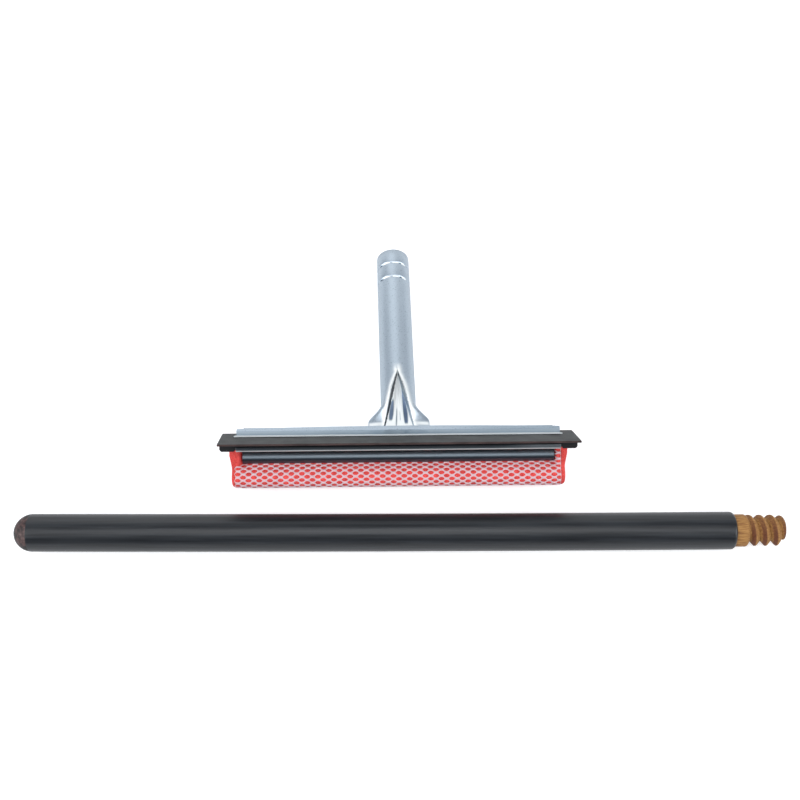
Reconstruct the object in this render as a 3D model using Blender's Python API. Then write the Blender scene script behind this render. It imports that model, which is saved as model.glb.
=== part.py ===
"""Window squeegee: a steel head with a rubber blade and a netted sponge, and its wooden handle.

Units are metres and +Z is up. Both pieces lie on the floor plane z = 0, with the handle taken off
and laid in front of the head. The handle's axis runs along X. The head's own frame has X along the
blade, U along the socket towards its mouth, and W square to both, on the blade's side.
"""
import math

import bmesh
import bpy
from mathutils import Vector

# Fits between pieces that touch
FIT = 0.0003
SHEET = 0.0008

# Handle: a turned dowel with a threaded tip
HANDLE_LENGTH = 0.4533
HANDLE_DIAMETER = 0.0222
SHOULDER_ROUND = 0.0042
TENON_DIAMETER = 0.0194
TIP_LENGTH = 0.0293
TENON_LENGTH = 0.0058
THREAD_DIAMETER = 0.0188
THREAD_DEPTH = 0.0030
THREAD_PITCH = 0.00635
THREAD_OFFSET = 0.0024
THREAD_CREST_SHARE = 0.15
TIP_ROUND = 0.0034
HANDLE_SIDES = 32
THREAD_STEPS_PER_TURN = 11

# Socket: a tube pressed flat at its foot, with two rolled rings that catch the thread
SOCKET_LENGTH = 0.138
SOCKET_WALL = 0.0009
SOCKET_CLEARANCE = 0.0004
RING_FROM_MOUTH = 0.0109
RING_SPACING = 2 * THREAD_PITCH
RING_DEPTH = 0.0009
RING_HALF_WIDTH = 0.0016
FOOT_WIDTH = 0.0370
FOOT_FLARE_LENGTH = 0.018
FOOT_FLARE_START = 0.004
FOOT_PRESS_LENGTH = 0.030
FOOT_PRESS_START = 0.0032
FOOT_DROP = 0.0039
FLANGE_WIDTH = 0.051
FLANGE_THICKNESS = 0.0021
FLANGE_REACH = 0.0024
DENT_LENGTH = 0.0318
DENT_WIDTH = 0.0185
DENT_EDGE = 0.0020
DENT_APEX_DEPTH = 0.0032
DENT_APEX_RAMP = 0.0016
DENT_RIDGE = 0.0012
DENT_RISE = 1.8
DENT_TAPER = 0.9
SOCKET_SIDES = 48
SOCKET_LEAN = math.radians(1.25)
SOCKET_SHIFT = 0.0006

# Frame: four pressed strips stacked above and below the socket's foot
FRAME_LENGTH = 0.1938
LIP_FLARE = 0.0009
LIP_RISE = 0.0003
LIP_SPLAY = 0.0004
JAW_LENGTH = 0.1900
BEND_RADIUS = 0.0006
BEND_MARGIN = 0.0008
UPPER_WEB = 0.0026
JAW_WEB = 0.0020
CLAMP_WEB = 0.0029
BASE_WEB = 0.0040
BLADE_ANGLE = math.radians(41.0)
SPONGE_ANGLE = math.radians(37.0)
BLADE_GRIP = 0.0090
SPONGE_CLAMP_LENGTH = 0.1876
SPONGE_GRIP = 0.0152
CLAMP_CROWN = 0.0017
CLAMP_CROWN_WIDTH = 0.0086
SPONGE_NECK = 0.0072
BASE_LIP_SETBACK = 0.0016
BASE_LIP_FLARE = 0.0012
BASE_LIP_DROP = 0.0006

# Rubber blade: a flat wiping leaf over a rib that the jaw holds
BLADE_LENGTH = 0.2094
BLADE_WIDTH = 0.0272
BLADE_THICKNESS = 0.0022
BLADE_EDGE = 0.0012
BLADE_SKEW = 0.0011
RIB_START = 0.0080
RIB_WIDTH = 0.0083
RIB_DEPTH = 0.0040
JAW_COVER = 0.0026

# Sponge and its net
SPONGE_OVERHANG = 0.0071
SPONGE_LENGTH = SPONGE_CLAMP_LENGTH + 2 * SPONGE_OVERHANG
SPONGE_FREE = 0.0151
SPONGE_CROWN = 0.0048
SPONGE_THICKNESS = 0.0206
SPONGE_FRONT_RADIUS = 0.0055
SPONGE_FLOOR_RADIUS = 0.0070
SPONGE_ROOT = 0.0040
SPONGE_END_ROUND = 0.0016
SPONGE_END_BULGE = 0.0015
END_SWELL = 0.85
NET_THREAD = 0.0006
NET_SETBACK = 0.0008
NET_LENGTH = SPONGE_CLAMP_LENGTH - 2 * NET_SETBACK
NET_TUCK = 0.0024
NET_COLUMNS = 16
NET_ROWS = 16
NET_KNOT = 0.0011
NET_KNOT_SHARE = 0.17

# Layout on the floor
HEAD_BEHIND_HANDLE = 0.0601
HEAD_YAW = math.radians(0.45)

STEEL = ("zinc_plated_steel", (0.56, 0.62, 0.68), 0.28, 1.0)
POLISHED = ("polished_zinc_steel", (0.50, 0.55, 0.60), 0.16, 1.0)
RUBBER = ("black_rubber", (0.045, 0.048, 0.048), 0.6, 0.0)
FOAM = ("red_foam", (0.72, 0.045, 0.045), 0.9, 0.0)
NET = ("nylon_net", (0.82, 0.68, 0.72), 0.5, 0.0)
WOOD = ("painted_wood", (0.035, 0.040, 0.045), 0.4, 0.0)


def smoothstep(t):
    t = min(max(t, 0.0), 1.0)
    return t * t * (3 - 2 * t)


def make_material(look):
    name, colour, roughness, metallic = look
    found = bpy.data.materials.get(name)
    if found:
        return found
    made = bpy.data.materials.new(name)
    made.use_nodes = True
    shader = made.node_tree.nodes["Principled BSDF"]
    shader.inputs["Base Color"].default_value = (*colour, 1.0)
    shader.inputs["Roughness"].default_value = roughness
    shader.inputs["Metallic"].default_value = metallic
    return made


def add_object(name, vertices, faces, look, parent, smooth_angle=35.0):
    mesh = bpy.data.meshes.new(name)
    mesh.from_pydata([tuple(v) for v in vertices], [], faces)
    mesh.validate()
    bm = bmesh.new()
    bm.from_mesh(mesh)
    bmesh.ops.recalc_face_normals(bm, faces=bm.faces)
    bm.to_mesh(mesh)
    bm.free()
    mesh.shade_smooth()
    mesh.set_sharp_from_angle(angle=math.radians(smooth_angle))
    made = bpy.data.objects.new(name, mesh)
    made.data.materials.append(make_material(look))
    made.parent = parent
    bpy.context.scene.collection.objects.link(made)
    return made


def loft(rings):
    """Joins rings of the same point count and closes the first and the last with a cap."""
    count = len(rings[0])
    vertices = [point for ring in rings for point in ring]
    faces = []
    for r in range(len(rings) - 1):
        for k in range(count):
            a = r * count + k
            b = r * count + (k + 1) % count
            faces.append((a, b, b + count, a + count))
    last = (len(rings) - 1) * count
    faces.append(tuple(reversed(range(count))))
    faces.append(tuple(last + k for k in range(count)))
    return vertices, faces


def add_solidify(target, thickness, offset):
    modifier = target.modifiers.new("sheet", "SOLIDIFY")
    modifier.thickness = thickness
    modifier.offset = offset
    modifier.use_even_offset = True


def rounded_path(points, radius, steps=3):
    """Replaces each inner corner of a path with an arc of the given radius."""
    path = [Vector(points[0])]
    for before, corner, after in zip(points, points[1:], points[2:]):
        corner = Vector(corner)
        back = (Vector(before) - corner).normalized()
        ahead = (Vector(after) - corner).normalized()
        half_angle = back.angle(ahead) / 2
        if half_angle > math.radians(88):
            path.append(corner)
            continue
        cut = radius / math.tan(half_angle)
        centre = corner + (back + ahead).normalized() * (radius / math.sin(half_angle))
        start = corner + back * cut - centre
        end = corner + ahead * cut - centre
        turn = start.angle_signed(end)
        for step in range(steps + 1):
            angle = -turn * step / steps
            cosine, sine = math.cos(angle), math.sin(angle)
            spoke = Vector((start.x * cosine - start.y * sine, start.x * sine + start.y * cosine))
            path.append(centre + spoke)
    path.append(Vector(points[-1]))
    return path


def offset_path(path, distance):
    """Moves a path sideways, to the left of its direction, with mitred corners."""
    moved = []
    for i, point in enumerate(path):
        before = path[max(i - 1, 0)]
        after = path[min(i + 1, len(path) - 1)]
        into = (point - before).normalized() if i else (after - point).normalized()
        out = (after - point).normalized() if i < len(path) - 1 else into
        left_in = Vector((-into.y, into.x))
        left_out = Vector((-out.y, out.x))
        middle = (left_in + left_out).normalized()
        moved.append(point + middle * (distance / middle.dot(left_in)))
    return moved


def add_strip(name, path, half_lengths, look, parent):
    """A pressed sheet strip that runs along X, with its middle surface on the given path."""
    vertices = []
    for point, half in zip(path, half_lengths):
        vertices.append((-half, point.x, point.y))
        vertices.append((half, point.x, point.y))
    faces = [(2 * i, 2 * i + 1, 2 * i + 3, 2 * i + 2) for i in range(len(path) - 1)]
    made = add_object(name, vertices, faces, look, parent)
    add_solidify(made, SHEET, 0.0)
    return made


# Directions in the head's U-W plane
BLADE_OUT = Vector((-math.cos(BLADE_ANGLE), math.sin(BLADE_ANGLE)))
BLADE_UP = Vector((math.sin(BLADE_ANGLE), math.cos(BLADE_ANGLE)))
SPONGE_OUT = Vector((-math.cos(SPONGE_ANGLE), -math.sin(SPONGE_ANGLE)))
SPONGE_UP = Vector((-math.sin(SPONGE_ANGLE), math.cos(SPONGE_ANGLE)))

# Heights of the stack at the foot, from the top strip down
FLANGE_TOP = -FOOT_DROP + FLANGE_THICKNESS / 2
FLANGE_BOTTOM = -FOOT_DROP - FLANGE_THICKNESS / 2
UPPER_WEB_HEIGHT = FLANGE_TOP + FIT + SHEET / 2
JAW_WEB_HEIGHT = FLANGE_BOTTOM - FIT - SHEET / 2
CLAMP_WEB_HEIGHT = JAW_WEB_HEIGHT - SHEET - FIT
LOWER_WEB_HEIGHT = CLAMP_WEB_HEIGHT - SHEET - FIT

# The blade's root: its upper face starts where the upper strip bends up
UPPER_BEND = Vector((-UPPER_WEB, UPPER_WEB_HEIGHT))
BLADE_ROOT = UPPER_BEND - BLADE_UP * (SHEET / 2 + FIT) + BLADE_OUT * BEND_MARGIN
JAW_GAP = BLADE_THICKNESS + FIT + SHEET / 2

# The sponge's channel starts at the clamp strip's bend
CLAMP_BEND = Vector((-FLANGE_REACH - BEND_MARGIN, CLAMP_WEB_HEIGHT))
SPONGE_TOP = -(SHEET / 2 + FIT + NET_THREAD + FIT)
SPONGE_LOW = SPONGE_TOP - SPONGE_NECK
CHANNEL_LOW = SPONGE_LOW - FIT - NET_THREAD - FIT - SHEET / 2

SPONGE_MOUTH = SPONGE_GRIP + SHEET + NET_THREAD + FIT
SPONGE_END = SPONGE_GRIP + SPONGE_FREE
SPONGE_BELLY = SPONGE_CROWN - SPONGE_THICKNESS
FLOOR_CORNER = Vector((SPONGE_END - SPONGE_FLOOR_RADIUS, SPONGE_BELLY + SPONGE_FLOOR_RADIUS))

SOCKET_RADIUS = THREAD_DIAMETER / 2 + SOCKET_CLEARANCE + SOCKET_WALL


def in_sponge(s, t):
    """A point of the sponge's section: s runs out of the channel, t towards the blade."""
    return CLAMP_BEND + SPONGE_OUT * s + SPONGE_UP * t


def thread_radius(x, angle, shoulder):
    """Radius of the tip at a place along the handle and an angle round it."""
    tenon_end = shoulder + TENON_LENGTH
    tip_end = shoulder + TIP_LENGTH
    phase = (x - shoulder - THREAD_OFFSET) / THREAD_PITCH - angle / (2 * math.pi)
    from_crest = 2 * abs(phase - round(phase))
    share = max(from_crest - THREAD_CREST_SHARE, 0.0) / (1 - THREAD_CREST_SHARE)
    grooved = THREAD_DIAMETER / 2 - THREAD_DEPTH * share
    run_in = smoothstep((x - tenon_end + THREAD_PITCH / 2) / (THREAD_PITCH / 2))
    radius = TENON_DIAMETER / 2 + (grooved - TENON_DIAMETER / 2) * run_in
    past = x - (tip_end - TIP_ROUND)
    if past > 0:
        radius -= TIP_ROUND * (1 - math.sqrt(max(1 - (past / TIP_ROUND) ** 2, 0.0))) * 0.6
    return radius


def build_handle(parent):
    start = -HANDLE_LENGTH / 2
    end = HANDLE_LENGTH / 2
    shoulder = end - TIP_LENGTH
    radius = HANDLE_DIAMETER / 2
    angles = [2 * math.pi * k / HANDLE_SIDES for k in range(HANDLE_SIDES)]

    def ring(x, size):
        return [(x, size(a) * math.cos(a), size(a) * math.sin(a)) for a in angles]

    rings = []
    dome_steps = 9
    for step in range(dome_steps + 1):
        tilt = math.pi / 2 * max(step, 0.15) / dome_steps
        rings.append(ring(start + radius * (1 - math.cos(tilt)), lambda a, t=tilt: radius * math.sin(t)))
    rings.append(ring(shoulder - SHOULDER_ROUND, lambda a: radius))
    drop = (HANDLE_DIAMETER - TENON_DIAMETER) / 2
    shoulder_steps = 5
    for step in range(1, shoulder_steps + 1):
        tilt = math.pi / 2 * step / shoulder_steps
        x = shoulder - SHOULDER_ROUND * (1 - math.sin(tilt))
        rings.append(ring(x, lambda a, t=tilt: radius - drop * (1 - math.cos(t))))
    thread_length = TIP_LENGTH - TENON_LENGTH + THREAD_PITCH / 2
    thread_start = end - thread_length
    steps = round(thread_length / THREAD_PITCH * THREAD_STEPS_PER_TURN)
    for step in range(steps + 1):
        x = thread_start + thread_length * step / steps
        rings.append(ring(x, lambda a, x=x: thread_radius(x, a, shoulder)))
    vertices, faces = loft(rings)
    return add_object("handle", vertices, faces, WOOD, parent)


def foot_flare(u):
    """0 where the tube is still round and 1 at its foot."""
    return smoothstep((FOOT_FLARE_LENGTH - u) / (FOOT_FLARE_LENGTH - FOOT_FLARE_START))


def socket_half_width(u):
    if u <= 0.0005:
        return FLANGE_WIDTH / 2
    return SOCKET_RADIUS + (FOOT_WIDTH / 2 - SOCKET_RADIUS) * foot_flare(u)


def socket_bottom(u):
    press = smoothstep((FOOT_PRESS_LENGTH - u) / (FOOT_PRESS_LENGTH - FOOT_PRESS_START))
    return -SOCKET_RADIUS + (FLANGE_BOTTOM + SOCKET_RADIUS) * press


def socket_top(u):
    rise = smoothstep(u / (FOOT_PRESS_LENGTH * 0.75))
    return FLANGE_TOP + (SOCKET_RADIUS - FLANGE_TOP) * rise


def dent_floor(u):
    """Height of the pressed recess's floor along its middle."""
    share = min(max(u / DENT_LENGTH, 0.0), 1.0)
    return FLANGE_TOP + (SOCKET_RADIUS - DENT_APEX_DEPTH - FLANGE_TOP) * share ** DENT_RISE


def top_columns(u, half):
    """Places across the upper wall, from its side to its middle, with four on the recess's edge."""
    quarter = SOCKET_SIDES // 4
    outer = quarter - 7
    inner = quarter - 4
    dent_half = DENT_WIDTH / 2 * max(1 - u / DENT_LENGTH, 0.0) ** DENT_TAPER
    edge = DENT_EDGE * (0.35 + 0.65 * smoothstep(dent_half / DENT_EDGE / 2))
    inner_x = max(dent_half - edge / 2, DENT_EDGE / 8)
    outer_angle = math.acos(min((inner_x + edge) / half, 1.0))
    even = smoothstep((u - DENT_LENGTH) / (DENT_LENGTH / 2))
    places = []
    for k in range(quarter + 1):
        if k <= outer:
            x = half * math.cos(outer_angle * k / outer)
            pressed = 0.0
        elif k < inner:
            share = (k - outer) / (inner - outer)
            x = inner_x + edge * (1 - share)
            pressed = smoothstep(share)
        else:
            x = inner_x * (quarter - k) / (quarter - inner)
            pressed = 1.0
        x += (half * math.cos(math.pi / 2 * k / quarter) - x) * even
        places.append((x, pressed))
    return places


def socket_ring(u, inset=0.0, radial=0.0):
    """One ring of the socket. Inset moves it in by a wall and radial rolls a ring groove."""
    half = socket_half_width(u) - inset + radial
    top = socket_top(u) - inset + radial
    bottom = socket_bottom(u) + inset - radial
    side = -FOOT_DROP * smoothstep((FOOT_PRESS_LENGTH - u) / FOOT_PRESS_LENGTH)
    power = 2 + 6 * foot_flare(u)
    depth = 1 - smoothstep((u - DENT_LENGTH) / DENT_APEX_RAMP)
    columns = top_columns(u, half)
    middle_x = max(columns[-5][0], DENT_EDGE)
    points = []
    for k in range(SOCKET_SIDES):
        angle = 2 * math.pi * k / SOCKET_SIDES
        if k <= SOCKET_SIDES // 2:
            x, pressed = columns[min(k, SOCKET_SIDES // 2 - k)]
            x = math.copysign(x, math.cos(angle))
        else:
            x = half * math.cos(angle)
        reach = max(1 - abs(x / half) ** power, 0.0) ** (1 / power)
        if k <= SOCKET_SIDES // 2:
            w = side + (top - side) * reach
            ridge = DENT_RIDGE * smoothstep(1 - abs(x) / middle_x) * min(u / DENT_LENGTH * 4, 1.0)
            w -= max(w - dent_floor(u) - ridge, 0.0) * pressed * depth
        else:
            w = side - (side - bottom) * reach
        points.append((x, u, w))
    return points


def groove_stations():
    """Places along the socket and the depth of the rolled rings there."""
    shape = ((-1.0, 0.0), (-0.5, 0.55), (0.0, 1.0), (0.5, 0.55), (1.0, 0.0))
    stations = []
    for ring in (1, 0):
        centre = SOCKET_LENGTH - RING_FROM_MOUTH - ring * RING_SPACING
        for place, depth in shape:
            stations.append((centre + place * RING_HALF_WIDTH, -depth * RING_DEPTH))
    return stations


def build_socket(parent):
    rings = [socket_ring(-FLANGE_REACH), socket_ring(0.0)]
    foot_steps = 20
    for step in range(foot_steps + 1):
        rings.append(socket_ring(BEND_MARGIN + (DENT_LENGTH - BEND_MARGIN) * step / foot_steps))
    for share in (0.3, 0.6, 1.0):
        rings.append(socket_ring(DENT_LENGTH + DENT_APEX_RAMP * share))
    past_dent = DENT_LENGTH * 1.5
    rings.append(socket_ring(past_dent))
    for u, depth in groove_stations():
        rings.append(socket_ring(u, radial=depth))
    rings.append(socket_ring(SOCKET_LENGTH))
    rings.append(socket_ring(SOCKET_LENGTH, inset=SOCKET_WALL))
    for u, depth in reversed(groove_stations()):
        rings.append(socket_ring(u, inset=SOCKET_WALL, radial=depth))
    rings.append(socket_ring(past_dent, inset=SOCKET_WALL))
    bore_end = DENT_LENGTH + 3 * DENT_APEX_RAMP
    hollow_start = DENT_LENGTH + DENT_APEX_RAMP
    rings.append(hollow_ring(bore_end, SOCKET_RADIUS - SOCKET_WALL))
    inner_steps = 6
    for step in range(inner_steps + 1):
        u = hollow_start - (hollow_start - FOOT_FLARE_LENGTH) * step / inner_steps
        rings.append(hollow_ring(u, dent_floor(u) - 1.6 * SOCKET_WALL))
    vertices, faces = loft(rings)
    made = add_object("socket", vertices, faces, STEEL, parent)
    made.location.x = SOCKET_SHIFT
    made.rotation_euler.z = SOCKET_LEAN
    return made


def hollow_ring(u, top):
    """The end of the hollow, an oval between the recess's floor and the lower wall."""
    bottom = socket_bottom(u) + SOCKET_WALL
    middle = (top + bottom) / 2
    half_height = (top - bottom) / 2
    half_width = min(SOCKET_RADIUS - SOCKET_WALL, 1.7 * half_height + SOCKET_WALL)
    points = []
    for k in range(SOCKET_SIDES):
        angle = 2 * math.pi * k / SOCKET_SIDES
        points.append((half_width * math.cos(angle), u, middle + half_height * math.sin(angle)))
    return points


def build_upper_plate(parent):
    start = Vector((0.0, UPPER_WEB_HEIGHT))
    tip = UPPER_BEND + BLADE_OUT * BLADE_GRIP
    flare = tip + BLADE_OUT * LIP_FLARE + BLADE_UP * LIP_RISE
    path = rounded_path([start, UPPER_BEND, tip, flare], BEND_RADIUS)
    total = len(path) - 1
    halves = [FRAME_LENGTH / 2 + LIP_SPLAY * smoothstep(i / total) for i in range(total + 1)]
    halves[0] -= LIP_SPLAY
    return add_strip("upper_frame_plate", path, halves, STEEL, parent)


def build_jaw(parent):
    """The strip under the blade: a web, a leg, and a pocket round the blade's rib."""
    leg = BLADE_ROOT - BLADE_UP * JAW_GAP
    rise = (JAW_WEB_HEIGHT - leg.y) / BLADE_OUT.y
    bend = leg + BLADE_OUT * rise
    back = RIB_START - FIT - SHEET / 2
    deep = BLADE_THICKNESS + RIB_DEPTH + FIT + SHEET / 2
    front = RIB_START + RIB_WIDTH + FIT + SHEET / 2
    points = [
        Vector((JAW_WEB, JAW_WEB_HEIGHT)),
        bend,
        BLADE_ROOT + BLADE_OUT * back - BLADE_UP * JAW_GAP,
        BLADE_ROOT + BLADE_OUT * back - BLADE_UP * deep,
        BLADE_ROOT + BLADE_OUT * front - BLADE_UP * deep,
        BLADE_ROOT + BLADE_OUT * front - BLADE_UP * (deep - JAW_COVER),
    ]
    path = rounded_path(points, BEND_RADIUS)
    return add_strip("blade_jaw", path, [JAW_LENGTH / 2] * len(path), POLISHED, parent)


def build_sponge_clamp(parent):
    """The strip over the sponge, rolled into a round bead along its free edge."""
    points = [Vector((CLAMP_WEB, CLAMP_WEB_HEIGHT)), CLAMP_BEND]
    crown_start = SPONGE_GRIP - CLAMP_CROWN_WIDTH
    points.append(in_sponge(crown_start, 0.0))
    path = rounded_path(points, BEND_RADIUS)
    crown_steps = 8
    for step in range(1, crown_steps + 1):
        share = step / crown_steps
        s = crown_start + CLAMP_CROWN_WIDTH * share
        path.append(in_sponge(s, CLAMP_CROWN * math.sin(math.pi * share)))
    return add_strip("sponge_clamp", path, [SPONGE_CLAMP_LENGTH / 2] * len(path), POLISHED, parent)


def build_lower_plate(parent):
    """The strip under the sponge: a web, the channel's back and a leg with a flared lip."""
    channel_back = SPONGE_ROOT - FIT - SHEET / 2
    lip = SPONGE_GRIP - BASE_LIP_SETBACK
    points = [
        Vector((BASE_WEB, LOWER_WEB_HEIGHT)),
        Vector((FLANGE_REACH, LOWER_WEB_HEIGHT)),
        in_sponge(channel_back, CHANNEL_LOW),
        in_sponge(lip, CHANNEL_LOW),
        in_sponge(lip + BASE_LIP_FLARE, CHANNEL_LOW - BASE_LIP_DROP),
    ]
    path = rounded_path(points, BEND_RADIUS)
    return add_strip("lower_frame_plate", path, [SPONGE_CLAMP_LENGTH / 2] * len(path), STEEL, parent)


def build_blade(parent):
    """An extruded rubber section: a leaf that thins to its edge, and a square rib below it."""
    section = [
        (0.0, 0.0),
        (BLADE_WIDTH, 0.0),
        (BLADE_WIDTH, -BLADE_EDGE),
        (RIB_START + RIB_WIDTH, -BLADE_THICKNESS),
        (RIB_START + RIB_WIDTH, -BLADE_THICKNESS - RIB_DEPTH),
        (RIB_START, -BLADE_THICKNESS - RIB_DEPTH),
        (RIB_START, -BLADE_THICKNESS),
        (0.0, -BLADE_THICKNESS),
    ]
    rings = []
    for x in (-BLADE_LENGTH / 2, BLADE_LENGTH / 2):
        ring = []
        for p, q in section:
            point = BLADE_ROOT + BLADE_OUT * p + BLADE_UP * q
            skew = BLADE_SKEW * (p / BLADE_WIDTH - 0.5)
            ring.append((x + skew, point.x, point.y))
        rings.append(ring)
    vertices, faces = loft(rings)
    return add_object("rubber_blade", vertices, faces, RUBBER, parent)


def sponge_outline():
    """The free part of the sponge's section, from the channel's upper lip round to its lower lip."""
    outline = [Vector((SPONGE_MOUTH, SPONGE_TOP))]
    swell_steps = 6
    upper_swell = SPONGE_END - SPONGE_FRONT_RADIUS - SPONGE_MOUTH
    for step in range(1, swell_steps + 1):
        share = step / swell_steps
        rise = math.sin(math.pi / 2 * share)
        s = SPONGE_MOUTH + upper_swell * share
        outline.append(Vector((s, SPONGE_TOP + (SPONGE_CROWN - SPONGE_TOP) * rise)))
    front = Vector((SPONGE_END - SPONGE_FRONT_RADIUS, SPONGE_CROWN - SPONGE_FRONT_RADIUS))
    corners = ((front, SPONGE_FRONT_RADIUS, 90), (FLOOR_CORNER, SPONGE_FLOOR_RADIUS, 0))
    corner_steps = 6
    for centre, radius, first in corners:
        for step in range(corner_steps + 1):
            angle = math.radians(first - 90 * step / corner_steps)
            outline.append(centre + Vector((math.cos(angle), math.sin(angle))) * radius)
    lower_swell = FLOOR_CORNER.x - SPONGE_MOUTH
    for step in range(1, swell_steps + 1):
        share = step / swell_steps
        rise = 1 - math.cos(math.pi / 2 * share)
        t = SPONGE_BELLY + (SPONGE_LOW - SPONGE_BELLY) * rise
        outline.append(Vector((FLOOR_CORNER.x - lower_swell * share, t)))
    return outline


def even_steps(path, count):
    """Points at equal distances along a path, ends included."""
    lengths = [0.0]
    for a, b in zip(path, path[1:]):
        lengths.append(lengths[-1] + (b - a).length)
    points = []
    for step in range(count + 1):
        target = lengths[-1] * step / count
        i = 1
        while i < len(path) - 1 and lengths[i] < target:
            i += 1
        share = (target - lengths[i - 1]) / (lengths[i] - lengths[i - 1])
        points.append(path[i - 1].lerp(path[i], min(share, 1.0)))
    return points


def sponge_rows():
    """The facets that the sponge and its net share: one tucked into each lip, the rest even."""
    tuck = SPONGE_GRIP - NET_TUCK
    free = even_steps(sponge_outline(), NET_ROWS - 2)
    return [Vector((tuck, SPONGE_TOP))] + free + [Vector((tuck, SPONGE_LOW))]


def sponge_section(swollen, inset):
    """The sponge's closed section. Swollen is 1 past the strips, where nothing pinches the foam."""
    middle = Vector(((SPONGE_ROOT + SPONGE_END) / 2, (SPONGE_CROWN + SPONGE_BELLY) / 2))
    high = SPONGE_TOP + (SPONGE_CROWN - SPONGE_TOP) * END_SWELL * swollen
    low = SPONGE_LOW + (SPONGE_BELLY - SPONGE_LOW) * END_SWELL * swollen
    half_way = (SPONGE_ROOT + SPONGE_GRIP) / 2
    points = [Vector((SPONGE_ROOT, high)), Vector((half_way, high))]
    for point in sponge_rows():
        t = point.y
        if point.x < SPONGE_END / 2 + half_way:
            t = max(t, high) if t > middle.y else min(t, low)
        points.append(Vector((point.x, t)))
    points += [Vector((half_way, low)), Vector((SPONGE_ROOT, low))]
    scale = 1 - inset / (SPONGE_THICKNESS / 2)
    return [middle + (point - middle) * scale for point in points]


def build_sponge(parent):
    half = SPONGE_LENGTH / 2
    clamp_end = SPONGE_CLAMP_LENGTH / 2 + FIT * 2
    stations = [
        (clamp_end, 0.0, 0.0),
        (clamp_end + SPONGE_END_ROUND / 4, 0.8, 0.0),
        (clamp_end + SPONGE_END_ROUND, 1.0, 0.0),
        (half - SPONGE_END_ROUND, 1.0, 0.0),
        (half - SPONGE_END_ROUND / 4, 1.0, SPONGE_END_ROUND / 3),
        (half, 1.0, SPONGE_END_ROUND),
    ]
    both = [(-x, swollen, inset) for x, swollen, inset in reversed(stations)] + stations
    rings = []
    for x, swollen, inset in both:
        ring = []
        past = math.copysign(smoothstep((abs(x) - clamp_end) / (half - clamp_end)), x)
        for point in sponge_section(swollen, inset):
            place = in_sponge(point.x, point.y)
            bulge = SPONGE_END_BULGE * (1 - smoothstep(point.x / SPONGE_MOUTH)) * past
            ring.append((x + bulge, place.x, place.y))
        rings.append(ring)
    vertices, faces = loft(rings)
    return add_object("sponge", vertices, faces, FOAM, parent)


def build_net(parent):
    """A knitted net as a sheet of knots and strands that lies on the sponge's facets."""
    rows = offset_path(sponge_rows(), FIT)
    last = len(rows) - 1
    pitch = NET_LENGTH / NET_COLUMNS
    vertices = []
    knots = {}
    for j, row in enumerate(rows):
        above = row.lerp(rows[max(j - 1, 0)], NET_KNOT_SHARE)
        below = row.lerp(rows[min(j + 1, last)], NET_KNOT_SHARE)
        shift = 0.5 * (j % 2)
        for i in range(NET_COLUMNS + 1 - (j % 2)):
            x = -NET_LENGTH / 2 + pitch * (i + shift)
            corners = {}
            for key, point, side in (("left", row, -1), ("right", row, 1), ("up", above, 0), ("down", below, 0)):
                if (key == "up" and j == 0) or (key == "down" and j == last):
                    continue
                corners[key] = len(vertices)
                place = in_sponge(point.x, point.y)
                vertices.append((x + side * NET_KNOT, place.x, place.y))
            knots[(2 * i + j % 2, j)] = corners
    faces = []
    for (column, j), knot in knots.items():
        if "up" in knot:
            faces.append((knot["left"], knot["right"], knot["up"]))
        if "down" in knot:
            faces.append((knot["left"], knot["down"], knot["right"]))
        right = knots.get((column + 1, j + 1))
        left = knots.get((column - 1, j + 1))
        if right:
            faces.append((knot["right"], knot["down"], right["left"], right["up"]))
        if left:
            faces.append((knot["down"], knot["left"], left["up"], left["right"]))
    made = add_object("sponge_net", vertices, faces, NET, parent, smooth_angle=50.0)
    add_solidify(made, NET_THREAD, 1.0)
    return made


def resting_pose():
    """The head's tilt and height when its socket's mouth and its netted sponge touch the floor."""
    netted = SPONGE_FLOOR_RADIUS + FIT + NET_THREAD
    corner = in_sponge(FLOOR_CORNER.x, FLOOR_CORNER.y)
    rim = Vector((SOCKET_LENGTH, -SOCKET_RADIUS))
    reach = rim - corner
    tilt = math.atan2(reach.y, reach.x) + math.asin(netted / reach.length)
    height = SOCKET_LENGTH * math.sin(tilt) + SOCKET_RADIUS * math.cos(tilt)
    return tilt, height


def add_empty(name, location, rotation=(0.0, 0.0, 0.0)):
    made = bpy.data.objects.new(name, None)
    made.location = location
    made.rotation_euler = rotation
    bpy.context.scene.collection.objects.link(made)
    return made


def build():
    for existing in list(bpy.data.objects):
        bpy.data.objects.remove(existing)
    tilt, height = resting_pose()
    reach_y = math.cos(tilt) * math.cos(HEAD_YAW)
    mouth_back = SOCKET_LENGTH * reach_y + SOCKET_RADIUS * math.sqrt(1 - reach_y ** 2)
    depth = HANDLE_DIAMETER / 2 + HEAD_BEHIND_HANDLE + mouth_back
    handle_y = HANDLE_DIAMETER / 2 - depth / 2
    handle_axis = add_empty("handle_axis", (0.0, handle_y, HANDLE_DIAMETER / 2))
    head_y = handle_y + HEAD_BEHIND_HANDLE
    head_frame = add_empty("head_frame", (0.0, head_y, height), (-tilt, 0.0, HEAD_YAW))
    build_handle(handle_axis)
    build_socket(head_frame)
    build_upper_plate(head_frame)
    build_jaw(head_frame)
    build_sponge_clamp(head_frame)
    build_lower_plate(head_frame)
    build_blade(head_frame)
    build_sponge(head_frame)
    build_net(head_frame)
    bpy.context.view_layer.update()
    print(f"head tilt {math.degrees(tilt):.2f} deg, height {height * 1000:.2f} mm")
    print(f"handle axis y {handle_y * 1000:.3f} mm, head y {head_y * 1000:.3f} mm")


build()
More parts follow.
